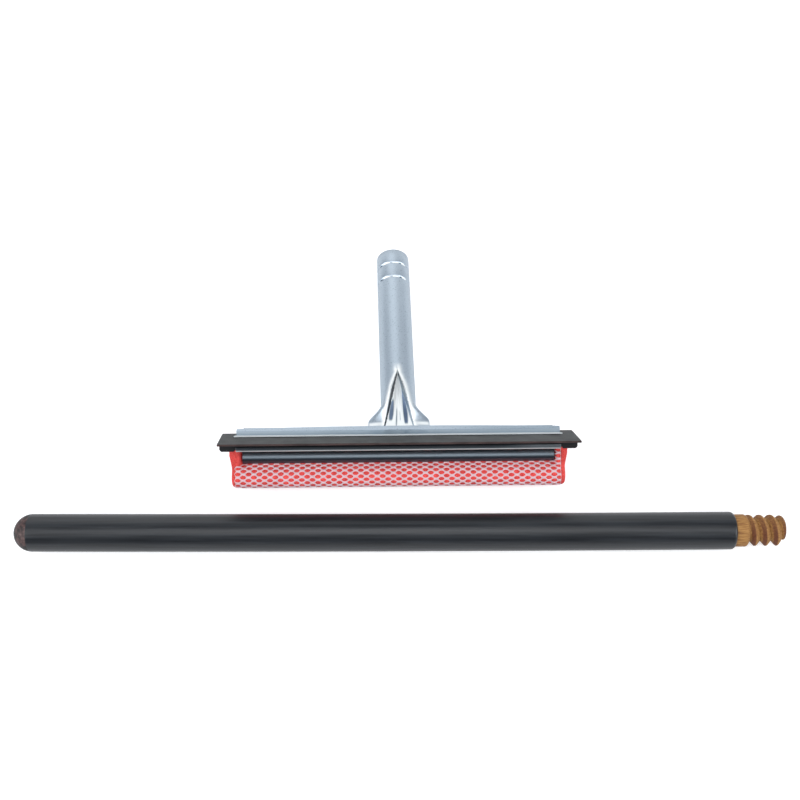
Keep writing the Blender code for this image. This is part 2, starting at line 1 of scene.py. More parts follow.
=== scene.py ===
# %% [markdown]
# # A window squeegee and its handle
#
# This lesson dresses a window squeegee. The object is a plated steel head, with a rubber blade and a
# netted sponge, and a painted wooden handle with a bare threaded tip that lies in front of it.
#
# The first cell loads the solid model as a fixed frame. Nothing in it is moved or reshaped. Each later
# cell makes one finer piece that stands in for a solid and rides on the same body.
#
# Units are metres. The handle lies along X, the head lies behind it, and the floor is z = 0.

# %% Load the fixed frame
import math

import bmesh
import bpy
from mathutils import Euler, Matrix, Vector, noise


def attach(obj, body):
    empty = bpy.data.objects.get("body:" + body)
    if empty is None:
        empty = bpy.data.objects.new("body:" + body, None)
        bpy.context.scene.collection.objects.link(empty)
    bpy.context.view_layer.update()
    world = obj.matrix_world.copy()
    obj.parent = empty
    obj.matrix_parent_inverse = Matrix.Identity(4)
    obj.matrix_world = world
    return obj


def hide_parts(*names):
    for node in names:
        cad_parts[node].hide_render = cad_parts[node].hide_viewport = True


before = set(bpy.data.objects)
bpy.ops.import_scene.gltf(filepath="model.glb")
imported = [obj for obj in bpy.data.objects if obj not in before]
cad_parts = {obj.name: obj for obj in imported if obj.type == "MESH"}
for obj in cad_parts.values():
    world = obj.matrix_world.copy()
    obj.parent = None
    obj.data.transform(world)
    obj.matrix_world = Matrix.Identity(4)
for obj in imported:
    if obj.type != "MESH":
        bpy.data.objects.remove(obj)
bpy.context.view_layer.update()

# The net is warped with noise. Without a fixed seed that noise would differ from run to run.
noise.seed_set(7)
MM = 0.001

# %% [markdown]
# ## Where the two parts lie
#
# The handle's axis runs along X. The head has its own frame: X along the blade, U along the socket
# towards its mouth, and W square to both. The head leans, because it rests on its socket's mouth and on
# the corner of its sponge. A frame like this lets every section be drawn flat and then placed once.

# %% The head's frame and the handle's frame
HEAD = Matrix.Translation((0.0, -33.3638 * MM, 32.6924 * MM))
HEAD = HEAD @ Euler((math.radians(-9.22831), 0.0, math.radians(0.45))).to_matrix().to_4x4()
SOCKET = HEAD @ Matrix.Translation((0.6 * MM, 0.0, 0.0)) @ Matrix.Rotation(math.radians(1.25), 4, "Z")
HANDLE = Matrix.Translation((0.0, -93.4638 * MM, 11.1 * MM))
print("head origin", [round(v / MM, 1) for v in HEAD.translation], "mm")

# %% [markdown]
# ## The camera
#
# The photograph looks down at about 62 degrees from the front. Blender's camera looks along its own
# -Z, so a turn of 28 degrees about X tips it from straight down to that view. A very small roll levels
# the picture as the photograph has it.

# %% Camera
TARGET = Vector((1.19 * MM, -24.664 * MM, 47.7 * MM))
LOOK_DOWN = 62
ROLL = -0.2
DISTANCE = 600 * MM
PICTURE_PIXELS = 800
FOCAL_PIXELS = 1016
camera_data = bpy.data.cameras.new("camera")
camera_data.sensor_width = 36
camera_data.lens = FOCAL_PIXELS / PICTURE_PIXELS * camera_data.sensor_width
camera = bpy.data.objects.new("camera", camera_data)
turn = Matrix.Rotation(math.radians(90 - LOOK_DOWN), 4, "X")
turn = turn @ Matrix.Rotation(math.radians(ROLL), 4, "Z")
camera.matrix_world = Matrix.Translation(TARGET + turn.to_3x3() @ Vector((0, 0, DISTANCE))) @ turn
bpy.context.scene.collection.objects.link(camera)
bpy.context.scene.camera = camera
print("camera at", [round(v, 3) for v in camera.matrix_world.translation])

# %% [markdown]
# ## Helpers for materials
#
# Colours are written as the hex values that a paint program shows. Blender works in linear light, so one
# function converts them. A second sets a node's values and links its inputs, where a node given as the
# source means its first output. A third adds a node in that way, and a fourth gives the shader its
# colour and its relief, which keeps each material short. Rubber and wood both have streaks along X:
# noise that is squeezed across them and stretched along them.


# %% Colour and node helpers
def paint(hex_colour):
    """An sRGB hex colour as linear red, green, blue and alpha."""
    linear = []
    for start in (1, 3, 5):
        value = int(hex_colour[start:start + 2], 16) / 255
        linear.append(value / 12.92 if value <= 0.04045 else ((value + 0.055) / 1.055) ** 2.4)
    return (*linear, 1.0)


def wire(tree, node, settings=None, links=None):
    """Sets a node's sockets, properties or ramp stops by name, and links its inputs."""
    for key, value in (settings or {}).items():
        if key == "stops":
            points = node.color_ramp.elements
            while len(points) < len(value):
                points.new(0.5)
            for point, (place, colour) in zip(points, value):
                point.position = place
                point.color = paint(colour)
        elif isinstance(key, int) or key in node.inputs:
            node.inputs[key].default_value = value
        else:
            setattr(node, key, value)
    for key, source in (links or {}).items():
        if hasattr(source, "outputs"):
            source = next(output for output in source.outputs if output.enabled)
        tree.links.new(source, node.inputs[key])
    return node


def add_node(tree, kind, settings=None, links=None):
    """Adds a shader node, with its settings and links."""
    return wire(tree, tree.nodes.new("ShaderNode" + kind), settings, links)


def start_material(name):
    """A new material with its tree, its shader and the object's own coordinates."""
    material = bpy.data.materials.new(name)
    material.use_nodes = True
    tree = material.node_tree
    place = add_node(tree, "TexCoord").outputs["Object"]
    return material, tree, tree.nodes["Principled BSDF"], place


def dress(tree, shader, colour, height, relief_mm, settings=None, links=None):
    """Gives the shader a colour, a relief from a height pattern, and its other settings and links."""
    relief = add_node(tree, "Bump", {"Distance": relief_mm * MM}, {"Height": height})
    wire(tree, shader, settings, {"Base Color": colour, "Normal": relief, **(links or {})})


def streaks_along_x(tree, place, across_mm, along_mm, detail):
    """Noise in streaks: across_mm is their width and along_mm their length."""
    ratio = across_mm / along_mm
    squeezed = add_node(tree, "Mapping", {"Scale": (ratio, 1.0, 1.0)}, {"Vector": place})
    settings = {"Scale": 1 / (across_mm * MM), "Detail": detail}
    return add_node(tree, "TexNoise", settings, {"Vector": squeezed})


print("white paint is", paint("#FFFFFF"))

# %% [markdown]
# ## Zinc-plated steel
#
# The socket and the strips are pressed from mild steel and then plated with zinc, which leaves a pale
# blue-grey skin. The barrel-plated finish isn't a mirror: fine spangles scatter the light and a few
# darker specks show. A metal takes its look from its base colour and its roughness, so both get noise.
#
# Meshes carry two attributes from 0 to 1. The first paints a highlight into the colour: a matt white that
# scatters light like pale paint, so its metallic value falls there. The second paints shade and dark
# reflections into the colour: teal, then blue as it grows, and at its full strength a dark grey. The
# bright finish's base colour is much darker than the satin one's, which paints in part of the shade on
# the jaw and the clamp.


# %% Zinc-plated steel, satin and bright
def zinc_plate(name, pale, dark, shade_stops, roughness, speck_mm, wave_mm):
    """Plated steel. The fourth argument gives the painted shade's colours by its amount. speck_mm and
    wave_mm are pattern sizes.
    """
    material, tree, shader, place = start_material(name)
    speck = add_node(tree, "TexNoise", {"Scale": 1 / (speck_mm * MM), "Detail": 3.0}, {"Vector": place})
    tone = add_node(tree, "ValToRGB", {"stops": [(0.3, dark), (0.44, pale), (1.0, pale)]}, {"Fac": speck})
    # Painted shade, then painted highlights, go into the colour, each by its attribute.
    for mark, colours in (("dulled", shade_stops), ("burnish", PAINTED_HIGHLIGHT_WHITE)):
        amount = add_node(tree, "Attribute", {"attribute_name": mark}).outputs["Fac"]
        marked = add_node(tree, "ValToRGB", {"stops": colours}, {"Fac": amount})
        tone = add_node(tree, "Mix", {"data_type": "RGBA"}, {"Factor": amount, "A": tone, "B": marked})
    metal = add_node(tree, "MapRange", {"To Min": 1.0, "To Max": 0.25}, {"Value": amount})
    spread = {"To Min": roughness * 0.8, "To Max": roughness * 1.25}
    rough = add_node(tree, "MapRange", spread, {"Value": speck})
    wave = add_node(tree, "TexNoise", {"Scale": 1 / (wave_mm * MM), "Detail": 1.0}, {"Vector": place})
    dress(tree, shader, tone, wave, 0.12, links={"Metallic": metal, "Roughness": rough})
    return material


# The painted highlight's white, and the colours of painted shade and dark reflections on the satin and
# the bright finish.
PAINTED_HIGHLIGHT_WHITE = [(0.0, "#F6F8F6"), (1.0, "#F6F8F6")]
SATIN_PAINTED_SHADE = [(0.78, "#3A5F70"), (0.87, "#2C5A8A"), (1.0, "#45484B")]
BRIGHT_PAINTED_SHADE = [(0.0, "#14181C"), (1.0, "#14181C")]
SATIN_ZINC = zinc_plate("zinc_plated_steel", "#B8C4CE", "#98A5B0", SATIN_PAINTED_SHADE, 0.42, 0.8, 9.0)
# Its darker base colour paints in part of the jaw's and the clamp's shade.
BRIGHT_ZINC = zinc_plate("bright_zinc_steel", "#6C757C", "#5E676E", BRIGHT_PAINTED_SHADE, 0.30, 0.5, 14.0)
print("made", SATIN_ZINC.name, BRIGHT_ZINC.name)

# %% [markdown]
# ## Black rubber
#
# The blade is extruded natural rubber, filled with carbon black, with faint lines along the extrusion.
# Rubber is not a metal: its IOR is about 1.52, and its roughness is high. One function makes three
# lit and shaded copies of it. The leaf's broad faces are painted a lighter dark grey: painted light. The
# rib is painted near black: painted shade. The wiping edge is painted brownish red, a painted reflection
# of the red sponge below it.


# %% Extruded rubber
def rubber(name, dark, pale, roughness):
    """Rubber with fine lines along X and soft blotches of dust."""
    material, tree, shader, place = start_material(name)
    lines = streaks_along_x(tree, place, 0.5, 12.5, 3.0)
    dust = add_node(tree, "TexNoise", {"Scale": 1 / (7.0 * MM), "Detail": 4.0}, {"Vector": place})
    both = add_node(tree, "Math", {"operation": "ADD"}, {0: lines, 1: dust})
    halved = add_node(tree, "Math", {"operation": "MULTIPLY", 1: 0.5}, {0: both})
    tone = add_node(tree, "ValToRGB", {"stops": [(0.38, dark), (0.62, pale)]}, {"Fac": halved})
    dress(tree, shader, tone, lines, 0.03, {"IOR": 1.52, "Roughness": roughness})
    return material


# Near black for painted shade, dark grey for painted light, brownish red for a painted reflection of the
# sponge.
SHADED_RUBBER = rubber("black_rubber_painted_shade", "#070708", "#101012", 0.36)
LIT_RUBBER = rubber("black_rubber_painted_light", "#1E2020", "#3C3F3E", 0.65)
RED_LIT_RUBBER = rubber("rubber_edge_painted_red_reflection", "#2C1D1C", "#463331", 0.85)
print("made", SHADED_RUBBER.name, LIT_RUBBER.name, RED_LIT_RUBBER.name)

# %% [markdown]
# ## Red foam
#
# The sponge is open-cell polyurethane foam. Its surface is a field of small cut cells, each with a
# bright rim and a hollow, whose darker red is painted shade. Voronoi cells give that: distance to the
# nearest point is the hollow. The real cells are about 0.6 mm, and they are drawn at 0.9 mm so that
# they still show.

# %% Open-cell foam
FOAM, tree, shader, place = start_material("red_open_cell_foam")
cells = add_node(tree, "TexVoronoi", {"Scale": 1 / (0.9 * MM)}, {"Vector": place})
patches = add_node(tree, "TexNoise", {"Scale": 1 / (4.0 * MM), "Detail": 3.0}, {"Vector": place})
# Darker red towards each cell's middle: painted shade in the hollow.
cell_colour = add_node(tree, "ValToRGB", {"stops": [(0.05, "#DC3633"), (0.6, "#F35651")]}, {"Fac": cells})
patch_stops = [(0.35, "#E8E0DE"), (0.6, "#FFFFFF")]
patch_colour = add_node(tree, "ValToRGB", {"stops": patch_stops}, {"Fac": patches})
tinted = add_node(tree, "Mix", {"data_type": "RGBA", "blend_type": "MULTIPLY", "Factor": 1.0},
                  {"A": cell_colour, "B": patch_colour})
dress(tree, shader, tinted, cells, 0.3, {"Roughness": 0.9})
print("made", FOAM.name)

# %% [markdown]
# ## Nylon net
#
# The net is knitted from white nylon yarn. Red light from the foam falls on the thin yarn, and that pink
# is painted into the yarn's colour, a painted reflection of the foam. Each strand is a bundle of
# filaments, drawn here as fine ridges along the cloth.

# %% Knitted nylon yarn
NYLON, tree, shader, place = start_material("knitted_nylon_yarn")
filaments = add_node(tree, "TexNoise", {"Scale": 1 / (0.35 * MM), "Detail": 2.0}, {"Vector": place})
# Pink in the white yarn: painted reflection of red light from the foam.
red_lit_yarn = add_node(tree, "ValToRGB", {"stops": [(0.3, "#D6AEB7"), (0.6, "#EED0D6")]}, {"Fac": filaments})
dress(tree, shader, red_lit_yarn, filaments, 0.08, {"IOR": 1.53, "Roughness": 0.45, "Sheen Weight": 0.3})
print("made", NYLON.name)

# %% [markdown]
# ## Painted wood and bare wood
#
# The handle is a turned dowel, dipped in black enamel. The paint sinks into the grain, so faint streaks
# run along the handle and break up its gloss. On the round end it is rubbed through to the primer, in
# a band that the mesh marks with an attribute. The band fades to the dark enamel towards the dome's upper
# and lower outline as seen from the front, which is painted shade. The tip was cut after dipping and
# shows the wood: tan with short brown streaks. The thread's rear flanks, up to the crests, are painted
# dark brown as shade, more so on the lower, front side, and the mesh marks them with a second attribute.

# %% Enamel on wood, and bare hardwood
ENAMEL, tree, shader, place = start_material("black_enamel_on_wood")
streaks = streaks_along_x(tree, place, 1.6, 45.0, 4.0)
tone = add_node(tree, "ValToRGB", {"stops": [(0.3, "#15171A"), (0.7, "#282B2F")]}, {"Fac": streaks})
gloss = add_node(tree, "MapRange", {"To Min": 0.30, "To Max": 0.42}, {"Value": streaks})
dress(tree, shader, tone, streaks, 0.1, {"IOR": 1.5}, {"Roughness": gloss})

WORN, tree, shader, place = start_material("worn_enamel_end")
scuffs = add_node(tree, "TexNoise", {"Scale": 1 / (2.2 * MM), "Detail": 5.0}, {"Vector": place})
primer_stops = [(0.36, "#231C1B"), (0.5, "#44302E"), (0.72, "#624C49")]
primer = add_node(tree, "ValToRGB", {"stops": primer_stops}, {"Fac": scuffs})
# Towards the dome's outline the primer fades to dark enamel: painted shade.
worn = add_node(tree, "Attribute", {"attribute_name": "worn"}).outputs["Fac"]
rubbed = add_node(tree, "Mix", {"data_type": "RGBA", "A": paint("#1C1A1A")},
                  {"Factor": worn, "B": primer})
dress(tree, shader, rubbed, scuffs, 0.08, {"Roughness": 0.6})

BARE_WOOD, tree, shader, place = start_material("bare_turned_hardwood")
fibres = streaks_along_x(tree, place, 0.7, 5.0, 5.0)
pale_stops = [(0.32, "#7B4F28"), (0.5, "#9E713B"), (0.72, "#B2854D")]
pale_wood = add_node(tree, "ValToRGB", {"stops": pale_stops}, {"Fac": fibres})
dark_wood = add_node(tree, "ValToRGB", {"stops": [(0.32, "#532A12"), (0.72, "#74411F")]}, {"Fac": fibres})
# Darker brown on the thread's rear flanks: painted shade.
soaked = add_node(tree, "Attribute", {"attribute_name": "soaked"}).outputs["Fac"]
wood = add_node(tree, "Mix", {"data_type": "RGBA"}, {"Factor": soaked, "A": pale_wood, "B": dark_wood})
dress(tree, shader, wood, fibres, 0.12, {"Roughness": 0.75})
print("made", ENAMEL.name, WORN.name, BARE_WOOD.name)

# %% [markdown]
# ## Helpers for meshes
#
# Most pieces are sweeps: a row of rings of the same point count, joined by quads. Another writes the
# marks that the materials read.


# %% Mesh helpers
def smoothstep(t):
    """0 up to 0, 1 from 1 on, and a soft step between."""
    t = min(max(t, 0.0), 1.0)
    return t * t * (3 - 2 * t)


def add_piece(name, points, faces, placement, materials, body, node, sharp=40.0):
    """Makes a piece from points in a local frame and lets it stand for one solid."""
    mesh = bpy.data.meshes.new(name)
    mesh.from_pydata([placement @ Vector(p) for p in points], [], faces)
    mesh.validate()
    tidy = bmesh.new()
    tidy.from_mesh(mesh)
    bmesh.ops.remove_doubles(tidy, verts=tidy.verts, dist=1e-6)
    bmesh.ops.recalc_face_normals(tidy, faces=tidy.faces)
    tidy.to_mesh(mesh)
    tidy.free()
    mesh.shade_smooth()
    mesh.set_sharp_from_angle(angle=math.radians(sharp))
    piece = bpy.data.objects.new(name, mesh)
    for material in materials:
        mesh.materials.append(material)
    bpy.context.scene.collection.objects.link(piece)
    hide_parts(node)
    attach(piece, body)
    return piece


def join_rings(rings):
    """Joins rings with quads and closes the ends with a face each."""
    count = len(rings[0])
    points = [point for ring in rings for point in ring]
    faces = []
    for r in range(len(rings) - 1):
        for k in range(count):
            a = r * count + k
            b = r * count + (k + 1) % count
            faces.append((a, b, b + count, a + count))
    faces.append(tuple(reversed(range(count))))
    faces.append(tuple((len(rings) - 1) * count + k for k in range(count)))
    return points, faces


def soften_edges(piece, width_mm):
    """Rounds the sharp edges, as a press, a mould or a tumbling barrel does."""
    modifier = piece.modifiers.new("soft_edges", "BEVEL")
    modifier.width = width_mm * MM
    modifier.segments = 2
    modifier.limit_method = "ANGLE"
    modifier.angle_limit = math.radians(50)


def mark_piece(piece, placement, rule, names=("burnish", "dulled")):
    """Writes two attributes of a piece, from a rule over places in its own frame."""
    back = placement.inverted()
    marks = zip(*[rule(back @ vertex.co) for vertex in piece.data.vertices])
    for name, values in zip(names, marks):
        piece.data.attributes.new(name, "FLOAT", "POINT").data.foreach_set("value", values)


print("mesh helpers ready")

# %% [markdown]
# ## The handle
#
# A dowel is turned on a lathe, so it is a row of round rings: a half ball at the back, a long straight
# run, a rounded shoulder, and the tip. The thread isn't a modifier: each ring's radius follows the
# helix, so the crest climbs round the tip by one pitch a turn. Crests are rounded and roots are sharp.
# Wood dries unevenly, so the whole dowel is bowed by less than a millimetre.

# %% Handle
HANDLE_LENGTH = 453.3 * MM
HANDLE_RADIUS = 11.1 * MM
SHOULDER_ROUND = 2.0 * MM
TENON_RADIUS = 9.5 * MM
TIP_LENGTH = 29.3 * MM
TENON_LENGTH = 6.2 * MM
CREST_RADIUS = 9.15 * MM
THREAD_DEPTH = 3.0 * MM
PITCH = 6.35 * MM
TIP_ROUND = 3.4 * MM
BOW = 0.7 * MM
WORN_LENGTH = 9.8 * MM
HANDLE_START = -HANDLE_LENGTH / 2
SHOULDER = HANDLE_LENGTH / 2 - TIP_LENGTH
HANDLE_SIDES, TIP_STEPS = 96, 150


def thread_share(x, angle):
    """0 on a crest and 1 in a root, and which side of the crest the place is on."""
    phase = (x - SHOULDER - 2.65 * MM) / PITCH - angle / (2 * math.pi)
    side = phase - round(phase)
    share = max(2 * abs(side) - 0.10, 0.0) / 0.90
    return 1.12 * share * share / (share + 0.12), side


def tip_run_in(x):
    """0 on the plain tenon and 1 where the thread has its full depth."""
    return smoothstep((x - SHOULDER - TENON_LENGTH) / (PITCH / 2))


def tip_radius(x, angle):
    """Radius of the threaded tip at a place and an angle."""
    threaded = CREST_RADIUS - THREAD_DEPTH * thread_share(x, angle)[0]
    radius = TENON_RADIUS + (threaded - TENON_RADIUS) * tip_run_in(x)
    past = x - (HANDLE_LENGTH / 2 - TIP_ROUND)
    if past > 0:
        radius -= TIP_ROUND * (1 - math.sqrt(max(1 - (past / TIP_ROUND) ** 2, 0.0))) * 0.6
    return radius


handle_angles = [2 * math.pi * k / HANDLE_SIDES for k in range(HANDLE_SIDES)]
straight_from = HANDLE_START + HANDLE_RADIUS
straight_to = SHOULDER - SHOULDER_ROUND
stations = []
for step in range(28):
    tilt = math.pi / 2 * max(step, 0.12) / 27
    stations.append((straight_from - HANDLE_RADIUS * math.cos(tilt), HANDLE_RADIUS * math.sin(tilt)))
for step in range(1, 60):
    stations.append((straight_from + (straight_to - straight_from) * step / 60, HANDLE_RADIUS))
for step in range(13):
    tilt = math.pi / 2 * step / 12
    drop = (HANDLE_RADIUS - TENON_RADIUS) * (1 - math.cos(tilt))
    stations.append((straight_to + SHOULDER_ROUND * math.sin(tilt), HANDLE_RADIUS - drop))
rings = [[(x, r * math.cos(a), r * math.sin(a)) for a in handle_angles] for x, r in stations]
for step in range(1, TIP_STEPS + 1):
    x = SHOULDER + TIP_LENGTH * step / TIP_STEPS
    radii = [tip_radius(x, a) for a in handle_angles]
    rings.append([(x, r * math.cos(a), r * math.sin(a)) for a, r in zip(handle_angles, radii)])
for ring in rings:
    ring[:] = [(x, y + BOW * ((2 * x / HANDLE_LENGTH) ** 2 - 0.45), z) for x, y, z in ring]
points, faces = join_rings(rings)
handle = add_piece("turned_handle", points, faces, HANDLE, [ENAMEL, BARE_WOOD, WORN], "handle", "handle")
for face in handle.data.polygons:
    if face.center.x > SHOULDER + 0.05 * MM:
        face.material_index = 1
    elif face.center.x < HANDLE_START + WORN_LENGTH:
        face.material_index = 2


def handle_wear_and_shade(spot):
    """How much painted shade the thread's flanks get, and how worn the dome is, faded as painted shade
    towards its outline, at a place in the handle's own frame.
    """
    side = thread_share(spot.x, math.atan2(spot.z, spot.y))[1]
    # Painted shade on the thread's rear flanks, stronger on the lower, front side.
    rear_flank = smoothstep((side + 0.40) * 9) * smoothstep((0.02 - side) * 9)
    lower = smoothstep(0.55 - spot.y / (12 * MM))
    # The wear fades towards the dome's upper and lower outline as seen from the front: painted shade.
    off_middle = abs((0.935 * spot.y + 0.353 * spot.z) / HANDLE_RADIUS - 0.08)
    worn_from = smoothstep((spot.x - HANDLE_START - 1.6 * MM) / (2.5 * MM))
    return (tip_run_in(spot.x) * rear_flank * (0.5 + 0.5 * lower),
            worn_from * smoothstep((0.85 - off_middle) * 5))


mark_piece(handle, HANDLE, handle_wear_and_shade, ("soaked", "worn"))
print("handle has", len(handle.data.polygons), "faces")

# %% [markdown]
# ## The socket
#
# The socket is a length of tube. Two ring grooves are rolled into it near the mouth, to catch the wooden
# thread. Its foot is pressed flat and wide, and a punch pushes the upper wall down in a V, which leaves
# a pocket with a fold in its middle and a rounded rim; the pocket's brightness is a painted highlight.
# The rings here follow those steps, and their columns follow the V's edge, so the edge stays crisp.

# %% Socket sizes
SOCKET_LENGTH = 138 * MM
SOCKET_RADIUS = 10.7 * MM
WALL = 0.9 * MM
GROOVES = [SOCKET_LENGTH - 12.0 * MM - 2 * PITCH, SOCKET_LENGTH - 12.0 * MM]
GROOVE_DEPTH = 0.7 * MM
GROOVE_HALF = 1.3 * MM
FOOT_HALF = 18.5 * MM
FLARE_FROM = 15.6 * MM
FLARE_TO = 4.2 * MM
PRESS = 30 * MM
PRESS_START = 3.2 * MM
FOOT_DROP = 3.9 * MM
FLANGE_HALF = 25.5 * MM
FLANGE_TOP = -2.85 * MM
FLANGE_BOTTOM = -4.95 * MM
V_LENGTH = 32.7 * MM
V_WIDTH = 18.5 * MM
V_EDGE = 1.15 * MM
V_DEPTH = 2.0 * MM
V_RAMP = 0.9 * MM
RIM = 0.6 * MM
RIM_WIDTH = 1.9 * MM
OUT_COLUMNS, EDGE_COLUMNS, IN_COLUMNS = 24, 8, 28
QUARTER = OUT_COLUMNS + EDGE_COLUMNS + IN_COLUMNS


# %% Socket section
def groove(u):
    """Depth of the rolled grooves at a place along the tube."""
    depth = 0.0
    for centre in GROOVES:
        share = abs(u - centre) / GROOVE_HALF
        depth = max(depth, GROOVE_DEPTH * (0.5 + 0.5 * math.cos(math.pi * min(share, 1.0))))
    return depth


def v_edge(u):
    """Half the width of the V's floor, and the width of the wall beside it."""
    v_half = V_WIDTH / 2 * max(1 - u / V_LENGTH, 0.0) ** 0.9
    edge = V_EDGE * (0.3 + 0.7 * smoothstep(v_half / V_EDGE / 3))
    return max(v_half - edge / 2, 0.15 * MM), edge


def v_columns(u, half):
    """Places across the upper wall, from its side to its middle, with how far each is pressed."""
    inner, edge = v_edge(u)
    outer_angle = math.acos(min((inner + edge) / half, 1.0))
    even = smoothstep((u - V_LENGTH) / V_LENGTH)
    columns = []
    for k in range(QUARTER + 1):
        if k <= OUT_COLUMNS:
            x, pressed = half * math.cos(outer_angle * k / OUT_COLUMNS), 0.0
        elif k <= OUT_COLUMNS + EDGE_COLUMNS:
            share = (k - OUT_COLUMNS) / EDGE_COLUMNS
            x, pressed = inner + edge * (1 - share), smoothstep(share)
        else:
            x, pressed = inner * (QUARTER - k) / IN_COLUMNS, 1.0
        x += (half * math.cos(math.pi / 2 * k / QUARTER) - x) * even
        columns.append((x, pressed))
    return columns, inner + edge


def socket_ring(u, inset=0.0):
    """One ring of the socket, in its own frame."""
    radial = -groove(u)
    flare = smoothstep((FLARE_FROM - u) / (FLARE_FROM - FLARE_TO))
    half = FLANGE_HALF if u <= 0.5 * MM else SOCKET_RADIUS + (FOOT_HALF - SOCKET_RADIUS) * flare
    half += radial - inset
    rise = smoothstep(u / (PRESS * 0.75))
    top = FLANGE_TOP + (SOCKET_RADIUS - FLANGE_TOP) * rise + radial - inset
    press = smoothstep((PRESS - u) / (PRESS - PRESS_START))
    bottom = -SOCKET_RADIUS + (FLANGE_BOTTOM + SOCKET_RADIUS) * press - radial + inset
    side = -FOOT_DROP * smoothstep((PRESS - u) / PRESS)
    power = 2 - 0.6 * flare + 4 * smoothstep(1 - u / (4 * MM))
    columns, rim_x = v_columns(u, half)
    share = min(max(u / V_LENGTH, 0.0), 1.0)
    floor = FLANGE_TOP + (SOCKET_RADIUS - V_DEPTH - FLANGE_TOP) * share ** 1.8
    fade = 1 - smoothstep((u - V_LENGTH) / V_RAMP)
    rim_fade = smoothstep((V_LENGTH + 3 * MM - u) / (3 * MM)) * smoothstep(u / (4 * MM))
    ring = []
    for k in range(4 * QUARTER):
        angle = math.pi / 2 * k / QUARTER
        if k <= 2 * QUARTER:
            x, pressed = columns[min(k, 2 * QUARTER - k)]
            x = math.copysign(x, math.cos(angle))
        else:
            x, pressed = half * math.cos(angle), 0.0
        reach = max(1 - abs(x / half) ** power, 0.0) ** (1 / power)
        if k <= 2 * QUARTER:
            w = side + (top - side) * reach
            if inset == 0.0:
                past = max(abs(x) - rim_x, 0.0)
                w += RIM * math.exp(-(past / RIM_WIDTH) ** 2) * (1 - pressed) * rim_fade
            across = min(abs(x) / max(rim_x, MM), 1.0)
            fold = math.exp(-((across - 0.25) / 0.18) ** 2)
            ridge = 0.6 * MM * fold * min(u / (9 * MM), 1.0) * (1 - 0.8 * share)
            w -= max(w - floor - ridge, 0.0) * pressed * fade
        else:
            w = side - (side - bottom) * reach
        ring.append((x, u, w))
    return ring


# %% Socket mesh
outside = [-2.4 * MM, 0.0, 0.8 * MM]
outside += [0.8 * MM + (V_LENGTH - 0.8 * MM) * step / 64 for step in range(1, 65)]
outside += [V_LENGTH + V_RAMP * share for share in (0.15, 0.3, 0.5, 0.7, 0.85, 1.0)]
outside += [V_LENGTH + V_RAMP + 3 * MM * step for step in range(1, 13)]
for centre in GROOVES:
    outside += [centre + GROOVE_HALF * (step / 8 - 1) for step in range(17)]
outside += [SOCKET_LENGTH - 0.2 * MM]
rings = [socket_ring(u) for u in outside]
rings.append([(x * 0.985, u, w * 0.985) for x, u, w in socket_ring(SOCKET_LENGTH)])
for u in [SOCKET_LENGTH] + list(reversed([u for u in outside if u > V_LENGTH + 8 * MM])):
    rings.append(socket_ring(u, inset=WALL))
inner_end = V_LENGTH + 6 * MM
for u, size in ((inner_end, 0.98), (inner_end - 4 * MM, 0.6), (inner_end - 6 * MM, 0.25)):
    bore = SOCKET_RADIUS - WALL
    rings.append([(bore * size * math.cos(math.pi / 2 * k / QUARTER), u,
                   bore * size * math.sin(math.pi / 2 * k / QUARTER) - bore * (1 - size) * 0.5)
                  for k in range(4 * QUARTER)])
points, faces = join_rings(rings)
socket = add_piece("tube_socket", points, faces, SOCKET, [SATIN_ZINC], "head", "socket", 70)
print("socket has", len(socket.data.polygons), "faces")

# %% [markdown]
# ### Painted highlights and painted shade on the socket
#
# The rim round the V, the pocket's floor with the crests of its folds, and a band along the foot get a
# painted highlight. The hollows between the folds get painted dark blue reflections, and the punch's
# steep walls painted shade, dark on the left and faint on the right. Each hollow is a slanted patch that
# tapers to both ends. It is given by its middle across the V at its lower and upper end, its half width
# there, where it starts and ends along the socket in millimetres, and its strength. The grooves have
# painted bright dashes and painted dark ends, each given by its middle and its half width across the
# tube.

# %% Painted highlights and painted shade
# Painted dark reflections in the V's hollows.
SHADED_HOLLOWS = [
    (0.48, 0.74, 0.26, 0.22, 2.0, 26.0, 0.9), (-0.58, -0.64, 0.26, 0.20, 4.5, 20.0, 0.86),
    (-0.18, -0.14, 0.08, 0.04, 0.0, 15.0, 0.75), (0.12, 0.10, 0.05, 0.03, 4.0, 12.0, 0.5),
    (-0.62, -0.62, 0.16, 0.16, 0.0, 1.8, 0.9), (0.62, 0.62, 0.22, 0.22, 0.0, 2.0, 0.9)]
# Painted glints along the grooves, and painted shade at their ends.
HIGHLIGHT_DASHES = [(-0.40, 0.26), (0.14, 0.24), (0.64, 0.14)]
GROOVE_SHADE_ENDS = [(-0.74, 0.08), (0.45, 0.06)]


def band(value, middle, half_width):
    """1 in the middle of a band and 0 past its edges, with soft edges."""
    return smoothstep(2.5 * (1 - abs(value - middle) / half_width))


